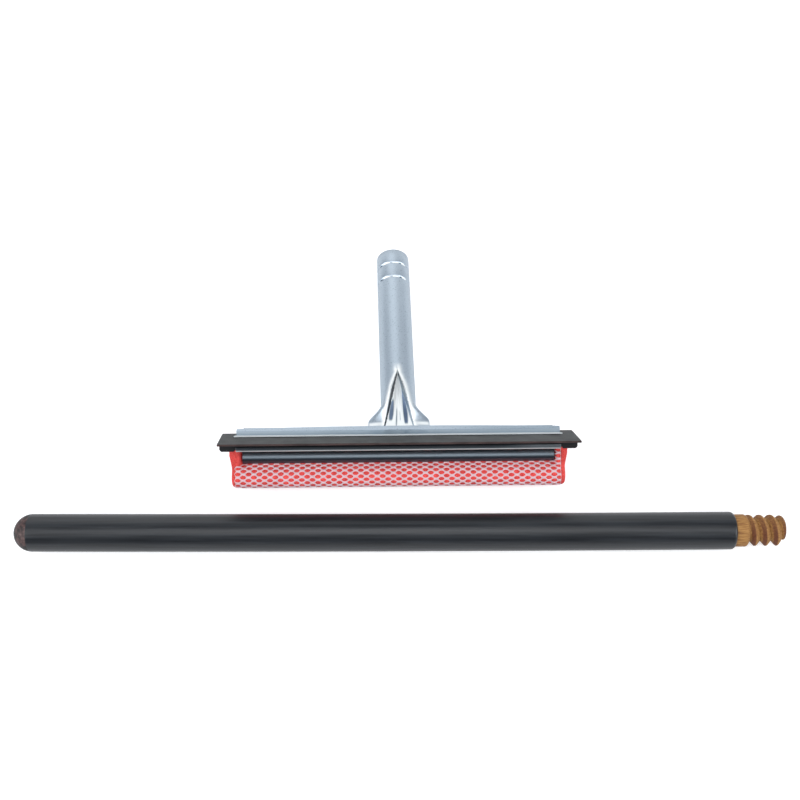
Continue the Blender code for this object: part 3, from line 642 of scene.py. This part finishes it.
def socket_painted_light(spot):
    """How much painted highlight and painted shade the socket has at a place in its own frame."""
    u = spot.y
    inner, edge = v_edge(u)
    rim_x = inner + edge
    rolled = smoothstep((groove(u) / GROOVE_DEPTH - 0.45) / 0.4)
    if u > V_LENGTH + 6 * MM:
        turned = spot.x / SOCKET_RADIUS
        return (rolled * max(band(turned, *dash) for dash in HIGHLIGHT_DASHES),
                rolled * max(band(turned, *end) for end in GROOVE_SHADE_ENDS))
    if spot.z < FLANGE_TOP - MM:
        return 0.0, 0.0
    side = abs(spot.x)
    # The rim, the cap above the V and a band along the foot: painted highlight.
    if side >= rim_x - 0.25 * edge or u > V_LENGTH:
        past = math.hypot(max(side - rim_x - 0.5 * MM, 0.0), max(u - V_LENGTH - 2.6 * MM, 0.0))
        foot = smoothstep((4.8 * MM - u) / (1.8 * MM)) * smoothstep((u - 0.8 * MM) / MM)
        foot *= smoothstep((FOOT_HALF - side) / MM)
        return max(math.exp(-(past / (1.7 * MM if spot.x > 0 else 1.3 * MM)) ** 2), 0.8 * foot), 0.0
    # The punch's steep walls: painted shade, dark on the left and faint on the right.
    if side > inner:
        return 0.0, 1.0 if spot.x < 0 else 0.15
    # The pocket's floor: painted highlight, with painted dark reflections in the hollows.
    across = spot.x / rim_x
    dulled = 0.0
    for low, high, low_half, high_half, start, end, strength in SHADED_HOLLOWS:
        share = min(max((u / MM - start) / (end - start), 0.0), 1.0)
        half = (low_half + (high_half - low_half) * share) * math.sin(math.pi * (0.15 + 0.7 * share))
        inside = band(across, low + (high - low) * share, half)
        ends = smoothstep((u / MM - start + 0.5) / 2.0) * smoothstep((end - u / MM) / 3.0)
        dulled = max(dulled, strength * inside * ends)
    return 1 - dulled, dulled


mark_piece(socket, SOCKET, socket_painted_light)
print("marked", len(socket.data.vertices), "points of the socket")

# %% [markdown]
# ## The four pressed strips
#
# Each strip is sheet steel folded on a brake, so it is a path in the U-W plane with a small round at
# every fold, given a thickness and run along X. The upper strip and the jaw pinch the rubber. The clamp
# and the lower strip pinch the sponge and its net. The upper strip is slightly bent, so its back edge is
# curved, and its lip flares at both ends. The cut edges are bevelled slightly, which gives the thin
# bright lines that a real edge shows.

# %% Directions and the strips' shared sizes
SHEET = 0.8 * MM
UPPER_W, JAW_W, CLAMP_W, LOWER_W = -2.15 * MM, -5.65 * MM, -6.75 * MM, -7.85 * MM
BLADE_ANGLE = math.radians(41)
SPONGE_ANGLE = math.radians(37)
BLADE_OUT = Vector((-math.cos(BLADE_ANGLE), math.sin(BLADE_ANGLE)))
BLADE_UP = Vector((math.sin(BLADE_ANGLE), math.cos(BLADE_ANGLE)))
SPONGE_OUT = Vector((-math.cos(SPONGE_ANGLE), -math.sin(SPONGE_ANGLE)))
SPONGE_UP = Vector((-math.sin(SPONGE_ANGLE), math.cos(SPONGE_ANGLE)))
UPPER_BEND = Vector((-2.6 * MM, UPPER_W))
BLADE_ROOT = Vector((-3.663 * MM, -2.153 * MM))
CLAMP_BEND = Vector((-3.2 * MM, CLAMP_W))


def on_blade(p, q):
    """A point of the blade's section: p along the leaf, q square to it."""
    return BLADE_ROOT + BLADE_OUT * p + BLADE_UP * q


def in_sponge(s, t):
    """A point of the sponge's section: s out of the channel, t towards the blade."""
    return CLAMP_BEND + SPONGE_OUT * s + SPONGE_UP * t


def folded(points, radius):
    """A path with each corner turned on a radius, as a press brake leaves it."""
    steps = 8
    path = [Vector(points[0])]
    for before, corner, after in zip(points, points[1:], points[2:]):
        corner = Vector(corner)
        back = (Vector(before) - corner).normalized()
        ahead = (Vector(after) - corner).normalized()
        half_angle = back.angle(ahead) / 2
        if half_angle > math.radians(88):
            path.append(corner)
            continue
        cut = radius / math.tan(half_angle)
        centre = corner + (back + ahead).normalized() * (radius / math.sin(half_angle))
        start = corner + back * cut - centre
        angle = -start.angle_signed(corner + ahead * cut - centre)
        for step in range(steps + 1):
            c, s = math.cos(angle * step / steps), math.sin(angle * step / steps)
            path.append(centre + Vector((start.x * c - start.y * s, start.x * s + start.y * c)))
    path.append(Vector(points[-1]))
    return path


def beside(path, distance):
    """The path moved to its left, with mitred corners."""
    moved = []
    for i, point in enumerate(path):
        before = path[i - 1] if i else point * 2 - path[1]
        after = path[i + 1] if i < len(path) - 1 else point * 2 - path[i - 1]
        along_in = (point - before).normalized()
        along_out = (after - point).normalized()
        left_in = Vector((-along_in.y, along_in.x))
        left_out = Vector((-along_out.y, along_out.x))
        middle = (left_in + left_out).normalized()
        moved.append(point + middle * (distance / middle.dot(left_in)))
    return moved


def pressed_strip(name, path, halves, material, node, curve=0.0):
    """A strip of sheet along X, half its length given for each point. curve bends its back edge."""
    columns = 48
    points = []
    for side in (1, -1):
        for point, half in zip(beside(path, side * SHEET / 2), halves):
            for c in range(columns + 1):
                t = 2 * c / columns - 1
                back = curve * (0.4 - t * t) * smoothstep((point.x + 2.0 * MM) / (1.6 * MM))
                points.append((half * t, point.x + back, point.y))
    row = columns + 1
    under = len(path) * row
    faces = []
    for a in range(under - row):
        if a % row < columns:
            b = a + under
            faces += [(a, a + 1, a + 1 + row, a + row), (b + row, b + 1 + row, b + 1, b)]
    for edge in (range(row), range(under - row, under), range(0, under, row), range(columns, under, row)):
        faces += [(a, b, b + under, a + under) for a, b in zip(edge, edge[1:])]
    strip = add_piece(name, points, faces, HEAD, [material], "head", node, 50)
    soften_edges(strip, 0.16)
    return strip


# %% Upper frame strip
WEB_HALF = 97.0 * MM
WEB_CORNER = 0.6 * MM
LIP_FROM, LIP_TO = 10.8 * MM, 11.8 * MM
path = folded([(0.0, UPPER_W), UPPER_BEND, UPPER_BEND + BLADE_OUT * LIP_FROM,
               UPPER_BEND + BLADE_OUT * LIP_TO], 0.7 * MM)
back_edge = [Vector((-WEB_CORNER * (1 - math.cos(math.pi / 10 * step)), UPPER_W)) for step in range(5)]
path = back_edge + [p for p in path if p.x < -WEB_CORNER]
halves = []
for point in path:
    corner = max(WEB_CORNER + point.x, 0.0)
    rounding = WEB_CORNER - math.sqrt(max(WEB_CORNER ** 2 - corner ** 2, 0.0))
    along = (point - UPPER_BEND).dot(BLADE_OUT) / MM
    flared = 2.5 * MM * smoothstep((along - 10.2) / 1.4)
    halves.append(WEB_HALF - 2.8 * MM * smoothstep(along / 8) + flared - rounding)
upper_strip = pressed_strip("upper_strip", path, halves, SATIN_ZINC, "upper_frame_plate", 1.2 * MM)


def upper_strip_painted_light(spot):
    """The lip gets a painted highlight, the leg painted shade, and the strip is painted darker towards
    its right end.
    """
    along = (Vector((spot.y, spot.z)) - UPPER_BEND).dot(BLADE_OUT) / MM
    lip = smoothstep((along - 11.2) / 0.4)
    right = 0.22 * smoothstep((spot.x - 20 * MM) / (45 * MM))
    return 0.65 * lip, max(0.76 * smoothstep(along / 1.2), right) * (1 - lip)


mark_piece(upper_strip, HEAD, upper_strip_painted_light)

# %% Jaw strip
JAW_HALF = 95.0 * MM
GAP = 2.9 * MM
RIB_BACK, RIB_FRONT, RIB_LOW, COVER = 7.3 * MM, 17.0 * MM, 6.9 * MM, 2.6 * MM
leg = on_blade(0.0, -GAP)
bend = leg + BLADE_OUT * ((JAW_W - leg.y) / BLADE_OUT.y)
path = folded([(2.0 * MM, JAW_W), bend, on_blade(RIB_BACK, -GAP), on_blade(RIB_BACK, -RIB_LOW),
               on_blade(RIB_FRONT, -RIB_LOW), on_blade(RIB_FRONT, -RIB_LOW + COVER)], 0.75 * MM)
jaw = pressed_strip("jaw_strip", path, [JAW_HALF] * len(path), BRIGHT_ZINC, "blade_jaw")


def jaw_painted_light(spot):
    """The cover's lower bend gets a painted highlight, the cover painted shadow from the blade above it,
    and the right end is painted lighter.
    """
    q = (Vector((spot.y, spot.z)) - BLADE_ROOT).dot(BLADE_UP) / MM
    lighter_right_end = 0.22 * smoothstep((spot.x - 62 * MM) / (20 * MM))
    lit_lower_bend = smoothstep((-6.0 - q) / 0.5)
    blade_shadow = 0.62 * (1 - smoothstep((spot.x - 50 * MM) / (28 * MM)))
    return max(0.60 * lit_lower_bend, lighter_right_end), blade_shadow * (1 - lit_lower_bend)


mark_piece(jaw, HEAD, jaw_painted_light)

# %% Sponge clamp, rolled into a soft bead
CLAMP_HALF = 93.8 * MM
GRIP = 15.9 * MM
CROWN = 9.3 * MM
path = folded([(2.9 * MM, CLAMP_W), CLAMP_BEND, in_sponge(GRIP - CROWN, 0.0)], 0.7 * MM)
TOP_SHARE = 0.67
for step in range(1, 33):
    share = step / 32
    rise = share / TOP_SHARE if share < TOP_SHARE else (1 - share) / (1 - TOP_SHARE)
    path.append(in_sponge(GRIP - CROWN * (1 - share), 1.7 * MM * math.sin(math.pi / 2 * rise)))
clamp = pressed_strip("sponge_clamp_strip", path, [CLAMP_HALF] * len(path), BRIGHT_ZINC, "sponge_clamp")

# %% Lower strip, with the channel's back
LIP = 13.6 * MM
UNDER_T = -10.4 * MM
path = folded([(4.0 * MM, LOWER_W), (2.4 * MM, LOWER_W), in_sponge(3.3 * MM, UNDER_T),
               in_sponge(LIP, UNDER_T), in_sponge(LIP + 1.2 * MM, -11.0 * MM)], 0.6 * MM)
halves = [CLAMP_HALF] * len(path)
lower_strip = pressed_strip("lower_strip", path, halves, SATIN_ZINC, "lower_frame_plate")
for strip in (upper_strip, jaw, clamp, lower_strip):
    print(strip.name, "has", len(strip.data.polygons), "faces")

# %% [markdown]
# ## The rubber blade
#
# The blade is one extruded section: a leaf that thins to its wiping edge, over a square rib that the jaw
# holds. It was cut off slightly skewed. The long edges of an extrusion are never perfectly sharp. Past
# the jaw's ends nothing squeezes the rib, so it stands out a little there.

# %% Rubber blade
BLADE_HALF = 104.7 * MM
JAW_END = JAW_HALF + 0.3 * MM
LEAF = 27.2
SKEW = 1.1 * MM
# The section in millimetres along and across the leaf, and how far each corner swells past the jaw.
section = [(0.0, 0.0), (LEAF, 0.0), (LEAF, -1.2), (16.3, -2.2), (16.3, -6.2), (8.0, -6.2), (8.0, -2.2),
           (0.0, -2.2)]
freed = [(0.0, 0.0)] * 4 + [(0.5, -0.9), (-0.5, -0.9)] + [(0.0, 0.0)] * 2
rings = []
blade_stations = [JAW_END * (step / 32 - 1) for step in range(65)]
past_jaw = [JAW_END + 0.3 * MM, JAW_END + 0.9 * MM]
past_jaw += [BLADE_HALF - 1.2 * MM, BLADE_HALF - 0.4 * MM, BLADE_HALF]
blade_stations = [-x for x in reversed(past_jaw)] + blade_stations + past_jaw
for x in blade_stations:
    loose = smoothstep((abs(x) - JAW_END - 0.2 * MM) / (0.7 * MM))
    rounded = 1.4 * max(1 - (BLADE_HALF - abs(x)) / (1.2 * MM), 0.0) ** 2
    ring = []
    for (p, q), (wide, deep) in zip(section, freed):
        lift = rounded if deep else 0.0
        spot = on_blade((p + wide * loose) * MM, (q + deep * loose + lift) * MM)
        ring.append((x + SKEW * (p / LEAF - 0.5), spot.x, spot.y))
    rings.append(ring)
points, faces = join_rings(rings)
rubber_light_copies = [SHADED_RUBBER, LIT_RUBBER, RED_LIT_RUBBER]
blade = add_piece("rubber_wiper", points, faces, HEAD, rubber_light_copies, "head", "rubber_blade", 30)
# Broad faces get the lighter copy (painted light), the leaf's front edge the red copy (painted reflection
# of the sponge), and the rest the near-black copy (painted shade).
for face in blade.data.polygons:
    normal = HEAD.to_3x3().inverted() @ face.normal
    up = Vector((normal.y, normal.z)).dot(BLADE_UP)
    out = Vector((normal.y, normal.z)).dot(BLADE_OUT)
    spot = HEAD.inverted() @ face.center
    on_leaf = (Vector((spot.y, spot.z)) - BLADE_ROOT).dot(BLADE_OUT) > 20 * MM
    if abs(up) > 0.9:
        face.material_index = 1
    elif out > 0.9 and on_leaf:
        face.material_index = 2
soften_edges(blade, 0.25)
print("blade is", round(2 * BLADE_HALF / MM, 1), "mm long")

# %% [markdown]
# ## The sponge's shape
#
# The sponge is a bar of foam, pinched at its root by two strips. Outside them it swells up and down, and
# past their ends nothing pinches it, so it swells there too. One function gives the skin at any place
# along X and any distance round the section. The sponge and the net both use it, so they always fit.

# %% Sponge section
SPONGE_HALF = 100.0 * MM
END_ROUND = 1.8 * MM
ROOT_S = 4.0 * MM
TOP_T = -1.6 * MM
LOW_T = -8.8 * MM
MOUTH_S = 16.9 * MM
END_S = 30.3 * MM
CROWN_T = 4.8 * MM
BELLY_T = -15.8 * MM
FRONT_R = 5.5 * MM
FLOOR_R = 7.0 * MM
CLAMP_END = CLAMP_HALF + 0.6 * MM

outline = []
for step in range(25):
    share = step / 24
    s = MOUTH_S + (END_S - FRONT_R - MOUTH_S) * share
    outline.append(Vector((s, TOP_T + (CROWN_T - TOP_T) * math.sin(math.pi / 2 * share))))
for centre_t, radius, first in ((CROWN_T - FRONT_R, FRONT_R, 90), (BELLY_T + FLOOR_R, FLOOR_R, 0)):
    for step in range(1, 17):
        angle = math.radians(first - 90 * step / 16)
        s = END_S - radius + radius * math.cos(angle)
        outline.append(Vector((s, centre_t + radius * math.sin(angle))))
for step in range(1, 25):
    share = step / 24
    s = END_S - FLOOR_R - (END_S - FLOOR_R - MOUTH_S) * share
    outline.append(Vector((s, BELLY_T + (LOW_T - BELLY_T) * (1 - math.cos(math.pi / 2 * share)))))
outline = [Vector((ROOT_S, TOP_T)), Vector((MOUTH_S - 3 * MM, TOP_T))] + outline
outline += [Vector((MOUTH_S - 3 * MM, LOW_T)), Vector((ROOT_S, LOW_T))]
lengths = [0.0]
for a, b in zip(outline, outline[1:]):
    lengths.append(lengths[-1] + (b - a).length)
FREE_START = lengths[2]
FREE_END = lengths[-3]
print("skin outside the strips", round((FREE_END - FREE_START) / MM, 1), "mm round")


def swell(x):
    """0 where the strips pinch the foam, 1 past their ends."""
    return smoothstep((abs(x) - CLAMP_END + 0.3 * MM) / (1.1 * MM))


def flat_skin(around):
    """The pinched section's skin at a distance round it."""
    around = min(max(around, 0.0), lengths[-1])
    i = 1
    while i < len(lengths) - 1 and lengths[i] < around:
        i += 1
    step = outline[i] - outline[i - 1]
    return outline[i - 1] + step * ((around - lengths[i - 1]) / (lengths[i] - lengths[i - 1]))


skin_cache = {}


def skin(x, around, height=0.0):
    """A point of the swollen skin, raised by a height, in the head's frame."""
    key = round(around * 1e6)
    if key not in skin_cache:
        chord = (flat_skin(around + 0.4 * MM) - flat_skin(around - 0.4 * MM)).normalized()
        skin_cache[key] = (flat_skin(around), Vector((-chord.y, chord.x)))
    point, outward = skin_cache[key]
    full = swell(x)
    t = point.y
    if point.x < MOUTH_S + 6 * MM and full > 0:
        high = TOP_T + (CROWN_T - TOP_T) * 0.85
        low = LOW_T + (BELLY_T - LOW_T) * 0.85
        t += (max(t, high) - t if t > (TOP_T + LOW_T) / 2 else min(t, low) - t) * full
    spot = in_sponge(point.x + outward.x * height, t + outward.y * height)
    return (x, spot.x, spot.y)


# %% [markdown]
# ## The net's pattern
#
# The knitted net is a lattice of oval gaps. Every second row is shifted by half a pitch, so the yarn
# between them makes lozenges with a wide knot at each side of a gap. The lattice is laid out here once.
# The foam uses it to bulge a little through every gap, and the yarn uses it for its edges.
#
# The net is pulled tight over the sponge's crown, so its rows stand wider apart where the skin turns
# away from the front. The list of rows holds where each one lies round the section.

# %% Net lattice
NET_PITCH = 6.42 * MM
NET_ROW = 1.78 * MM
GAP_HALF = (2.17 * MM, 1.22 * MM)
GAP_SQUARE = 1.8
NET_LEFT = -99.1 * MM
NET_RIGHT = 97.3 * MM
look = math.radians(LOOK_DOWN)
to_camera = HEAD.to_3x3().inverted() @ Vector((0.0, math.sin(look), math.cos(look)))


def facing(around):
    """How squarely the skin faces the front, from 0 to 1."""
    _, a, b = skin(0.0, around - 0.5 * MM)
    _, c, d = skin(0.0, around + 0.5 * MM)
    return abs(Vector((c - a, d - b)).normalized().dot(Vector((to_camera.y, to_camera.z))))


row_places = [FREE_START - 0.35 * MM]
while row_places[-1] < FREE_END:
    stretch = min(max(0.96 / max(facing(row_places[-1]), 0.1), 1.0), 1.2)
    row_places.append(row_places[-1] + NET_ROW * stretch)
ROWS = len(row_places)


def row_around(row):
    """Distance round the section at a row, which may lie between two rows or outside them all."""
    low = min(max(math.floor(row), 0), ROWS - 2)
    step = row_places[low + 1] - row_places[low]
    return row_places[low] + (row - low) * step


def warped(column, row):
    """A lattice place as X and distance round, slightly out of true, as hands and use leave it."""
    shift = noise.noise_vector(Vector((column * 0.24, row * 0.11, 1.7)))
    return column * NET_PITCH + shift.x * 0.4 * MM, row_around(row + shift.y * 0.12)


def oval(dx, dy):
    """0 at a gap's middle and 1 on its edge, for steps in metres. The gap is a rounded lozenge."""
    wide, tall = abs(dx) / GAP_HALF[0], abs(dy) / GAP_HALF[1]
    return (wide ** GAP_SQUARE + tall ** GAP_SQUARE) ** (1 / GAP_SQUARE)


gaps = []
for j in range(-7, ROWS + 5):
    shift = 0.5 * (j % 2)
    for i in range(math.floor(NET_LEFT / NET_PITCH) - 1, math.ceil(NET_RIGHT / NET_PITCH) + 2):
        x = (i + shift) * NET_PITCH
        under_strips = abs(x) < 92 * MM
        tucked = under_strips and not -1 <= j <= ROWS
        on_left_shoulder = not under_strips and x < 0 and j < 1
        if NET_LEFT < x < NET_RIGHT and not tucked and not on_left_shoulder:
            gaps.append((i + shift, j))
gap_centres = [warped(column, row) for column, row in gaps]
print("net has", len(gaps), "gaps in", ROWS, "rows,", round(NET_PITCH / MM, 2), "mm apart")

# %% [markdown]
# ## The foam
#
# The foam is a sweep with many fine stations. Its skin rises by up to 0.4 mm inside each gap of the net.
# The ends are cut flat with a hot wire and have a softly rounded edge, so the last rings draw in, and a
# few smaller rings close each end. Beside the strips the pinched foam is pushed outwards, so each end
# stands out there by 1.5 mm. The gaps are sorted into cells along X, so that each is found quickly.

# %% Foam sponge
FOAM_RISE = 0.42 * MM
END_BULGE = 1.5 * MM
CELL = 2 * MM
around_steps = 150
x_steps = 400
dimples = {}
for centre_x, centre_around in gap_centres:
    dimples.setdefault(round(centre_x / CELL), []).append((centre_x, centre_around))


def dimple(x, around):
    """How far the foam stands up inside a gap of the net."""
    best = 1.0
    cell = round(x / CELL)
    for key in (cell - 1, cell, cell + 1):
        for centre_x, centre_around in dimples.get(key, ()):
            if abs(around - centre_around) < CELL:
                best = min(best, oval(x - centre_x, around - centre_around))
    return FOAM_RISE * (1 - best ** 2)


rings = []
for i in range(x_steps + 1):
    x = (SPONGE_HALF - END_ROUND) * (2 * i / x_steps - 1)
    ring = []
    for k in range(around_steps + 1):
        around = lengths[-1] * k / around_steps
        ring.append(skin(x, around, dimple(x, around) if FREE_START < around < FREE_END else 0.0))
    rings.append(ring)
middle = in_sponge((ROOT_S + END_S) / 2, (CROWN_T + BELLY_T) / 2)


def drawn_in(ring, inset, push):
    """A ring pulled towards the sponge's middle line, and pushed outwards by a share of the rounding."""
    drawn = []
    for x, u, w in ring:
        away = Vector((u, w)) - middle
        scale = max(1 - inset / away.length, 0.0)
        at = middle + away * scale
        bulge = END_BULGE * min(max((u + 20.5 * MM) / (7 * MM), 0.0), 1.0)
        drawn.append((x + math.copysign((END_ROUND + bulge) * push, x), at.x, at.y))
    return drawn


def end_rings(ring):
    """Rings that round an end's edge and close its face, from the edge inwards."""
    made = []
    for turn_step in range(1, 9):
        tilt = math.pi / 2 * turn_step / 8
        made.append(drawn_in(ring, END_ROUND * (1 - math.cos(tilt)), math.sin(tilt)))
    for inset in (2.5, 4.0, 6.0, 8.0):
        made.append(drawn_in(ring, inset * MM, 1.0))
    return made


rings = list(reversed(end_rings(rings[0]))) + rings + end_rings(rings[-1])
points, faces = join_rings(rings)
sponge = add_piece("foam_sponge", points, faces, HEAD, [FOAM], "head", "sponge", 80)
print("sponge has", len(sponge.data.polygons), "faces")

# %% [markdown]
# ## The knitted net
#
# Round each gap the yarn is a ring of quads: it is highest on the line that it shares with the next
# ring, and it slopes down to the gap's edge, where it rests on the foam. Each level of the ring has its
# share of the way out from the gap's middle and its height in millimetres. Rings that meet share their
# points, so the net is one sheet. Solidify then gives it an underside.

# %% Nylon net
EDGE_PARTS = 3
corner_x = (NET_PITCH ** 2 / 4 + NET_ROW ** 2) / NET_PITCH
low_x = ((NET_PITCH ** 2 / 4 + NET_ROW ** 2) / 2 - NET_ROW ** 2) / (NET_PITCH / 2)
lozenge = [(corner_x, 0.0), (low_x, NET_ROW), (-low_x, NET_ROW)]
lozenge += [(-x, -y) for x, y in lozenge]
border = []
for (ax, ay), (bx, by) in zip(lozenge, lozenge[1:] + lozenge[:1]):
    for part in range(EDGE_PARTS):
        share = part / EDGE_PARTS
        border.append((ax + (bx - ax) * share, ay + (by - ay) * share))
yarn_levels = []
for dx, dy in border:
    edge = min(1 / oval(dx, dy), 0.97)
    slope = 1 - edge
    yarn_levels.append(
        ((1.0, 0.50), (1.0 - 0.45 * slope, 0.44), (1.0 - 0.9 * slope, 0.26), (edge, 0.05)))
points = []
faces = []
for column, row in gaps:
    start = len(points)
    for (dx, dy), levels in zip(border, yarn_levels):
        for share, height in levels:
            x, around = warped(column + dx * share / NET_PITCH, row + dy * share / NET_ROW)
            points.append(skin(min(max(x, NET_LEFT), NET_RIGHT), around, height * MM))
    for k in range(len(border)):
        a = start + 4 * k
        b = start + 4 * ((k + 1) % len(border))
        for level in range(3):
            faces.append((a + level, b + level, b + level + 1, a + level + 1))
net = add_piece("knitted_net", points, faces, HEAD, [NYLON], "head", "sponge_net", 80)
thick = net.modifiers.new("red_lit_yarn", "SOLIDIFY")
thick.thickness = 0.18 * MM
thick.offset = -1.0

# %% [markdown]
# ## Floor
#
# The photograph has a plain white ground. The floor is matt white. Rays from the camera, and rays that a
# gloss or a glass sends back, also see a little light of its own, which lifts it to the page's white and
# still leaves the soft shadow under the object.

# %% Floor
FLOOR, tree, shader, _ = start_material("white_table")
rays = add_node(tree, "LightPath").outputs
sent_on = add_node(tree, "Math", {"operation": "MAXIMUM"},
                   {0: rays["Is Glossy Ray"], 1: rays["Is Transmission Ray"]})
sent_on = add_node(tree, "Math", {"operation": "MULTIPLY", 1: 0.12}, {0: sent_on})
lift = add_node(tree, "Math", {"operation": "MULTIPLY_ADD", 1: 0.42},
                {0: rays["Is Camera Ray"], 2: sent_on})
wire(tree, shader, {"Base Color": paint("#EDEDED"), "Roughness": 0.9, "Emission Color": (1, 1, 1, 1)},
     {"Emission Strength": lift})
floor_mesh = bpy.data.meshes.new("table_top")
size = 3.0
corners = [(-size, -size, 0), (size, -size, 0), (size, size, 0), (-size, size, 0)]
floor_mesh.from_pydata(corners, [], [(0, 1, 2, 3)])
floor = bpy.data.objects.new("table_top", floor_mesh)
floor_mesh.materials.append(FLOOR)
bpy.context.scene.collection.objects.link(floor)
print("floor is", 2 * size, "m square")

# %% [markdown]
# ## Light
#
# Two soft lamps stand to the left and right, a little in front. They light the foam and the net. The
# strips and the handle run along X, so they never throw those lamps back at the camera, and they keep
# the dark, calm look of metal in a studio. A weak lamp behind draws the soft light along the middle of
# the socket's tube. One beside the camera draws the soft line along the handle.


# %% Lamps
def soft_sun(name, direction, strength, spread):
    """A sun that shines from a direction, with an angular size in degrees."""
    data = bpy.data.lights.new(name, "SUN")
    data.energy = strength
    data.angle = math.radians(spread)
    lamp = bpy.data.objects.new(name, data)
    lamp.rotation_euler = Vector(direction).to_track_quat("Z", "Y").to_euler()
    bpy.context.scene.collection.objects.link(lamp)
    return lamp


soft_sun("left_lamp", (-0.80, -0.30, 0.60), 1.65, 40)
soft_sun("right_lamp", (0.80, -0.30, 0.60), 1.45, 40)
soft_sun("camera_lamp", (0.0, -0.190, 0.982), 0.75, 34)
soft_sun("back_lamp", (-0.16, 0.78, 0.62), 0.23, 42)

# %% [markdown]
# ## The room
#
# Polished metal shows the room more than its own colour. This room changes from front to back only: it
# is dark overhead and in front, with a soft pale panel above the camera and a pale wall behind. Its
# dark parts are bluish, and so are the strips' dark bands. The ramp runs along Y, from the front at 0
# to the back at 1.

# %% Room
world = bpy.data.worlds.new("studio_room")
bpy.context.scene.world = world
world.use_nodes = True
tree = world.node_tree
direction = add_node(tree, "TexCoord").outputs["Generated"]
parts = add_node(tree, "SeparateXYZ", links={"Vector": direction})
along = add_node(tree, "MapRange", {"From Min": -1.0, "From Max": 1.0}, {"Value": parts.outputs["Y"]})
room_stops = [(0.0, "#4E545F"), (0.12, "#333945"), (0.17, "#A6AEB8"), (0.34, "#B4BCC6"),
              (0.48, "#69727F"), (0.68, "#4E5767"), (0.80, "#C4CBD3"), (0.90, "#FAFCFF")]
room = add_node(tree, "ValToRGB", {"stops": room_stops}, {"Fac": along})
wire(tree, tree.nodes["Background"], {"Strength": 1.0}, {"Color": room})
bpy.context.scene.view_settings.view_transform = "Standard"
print("room and lamps ready")
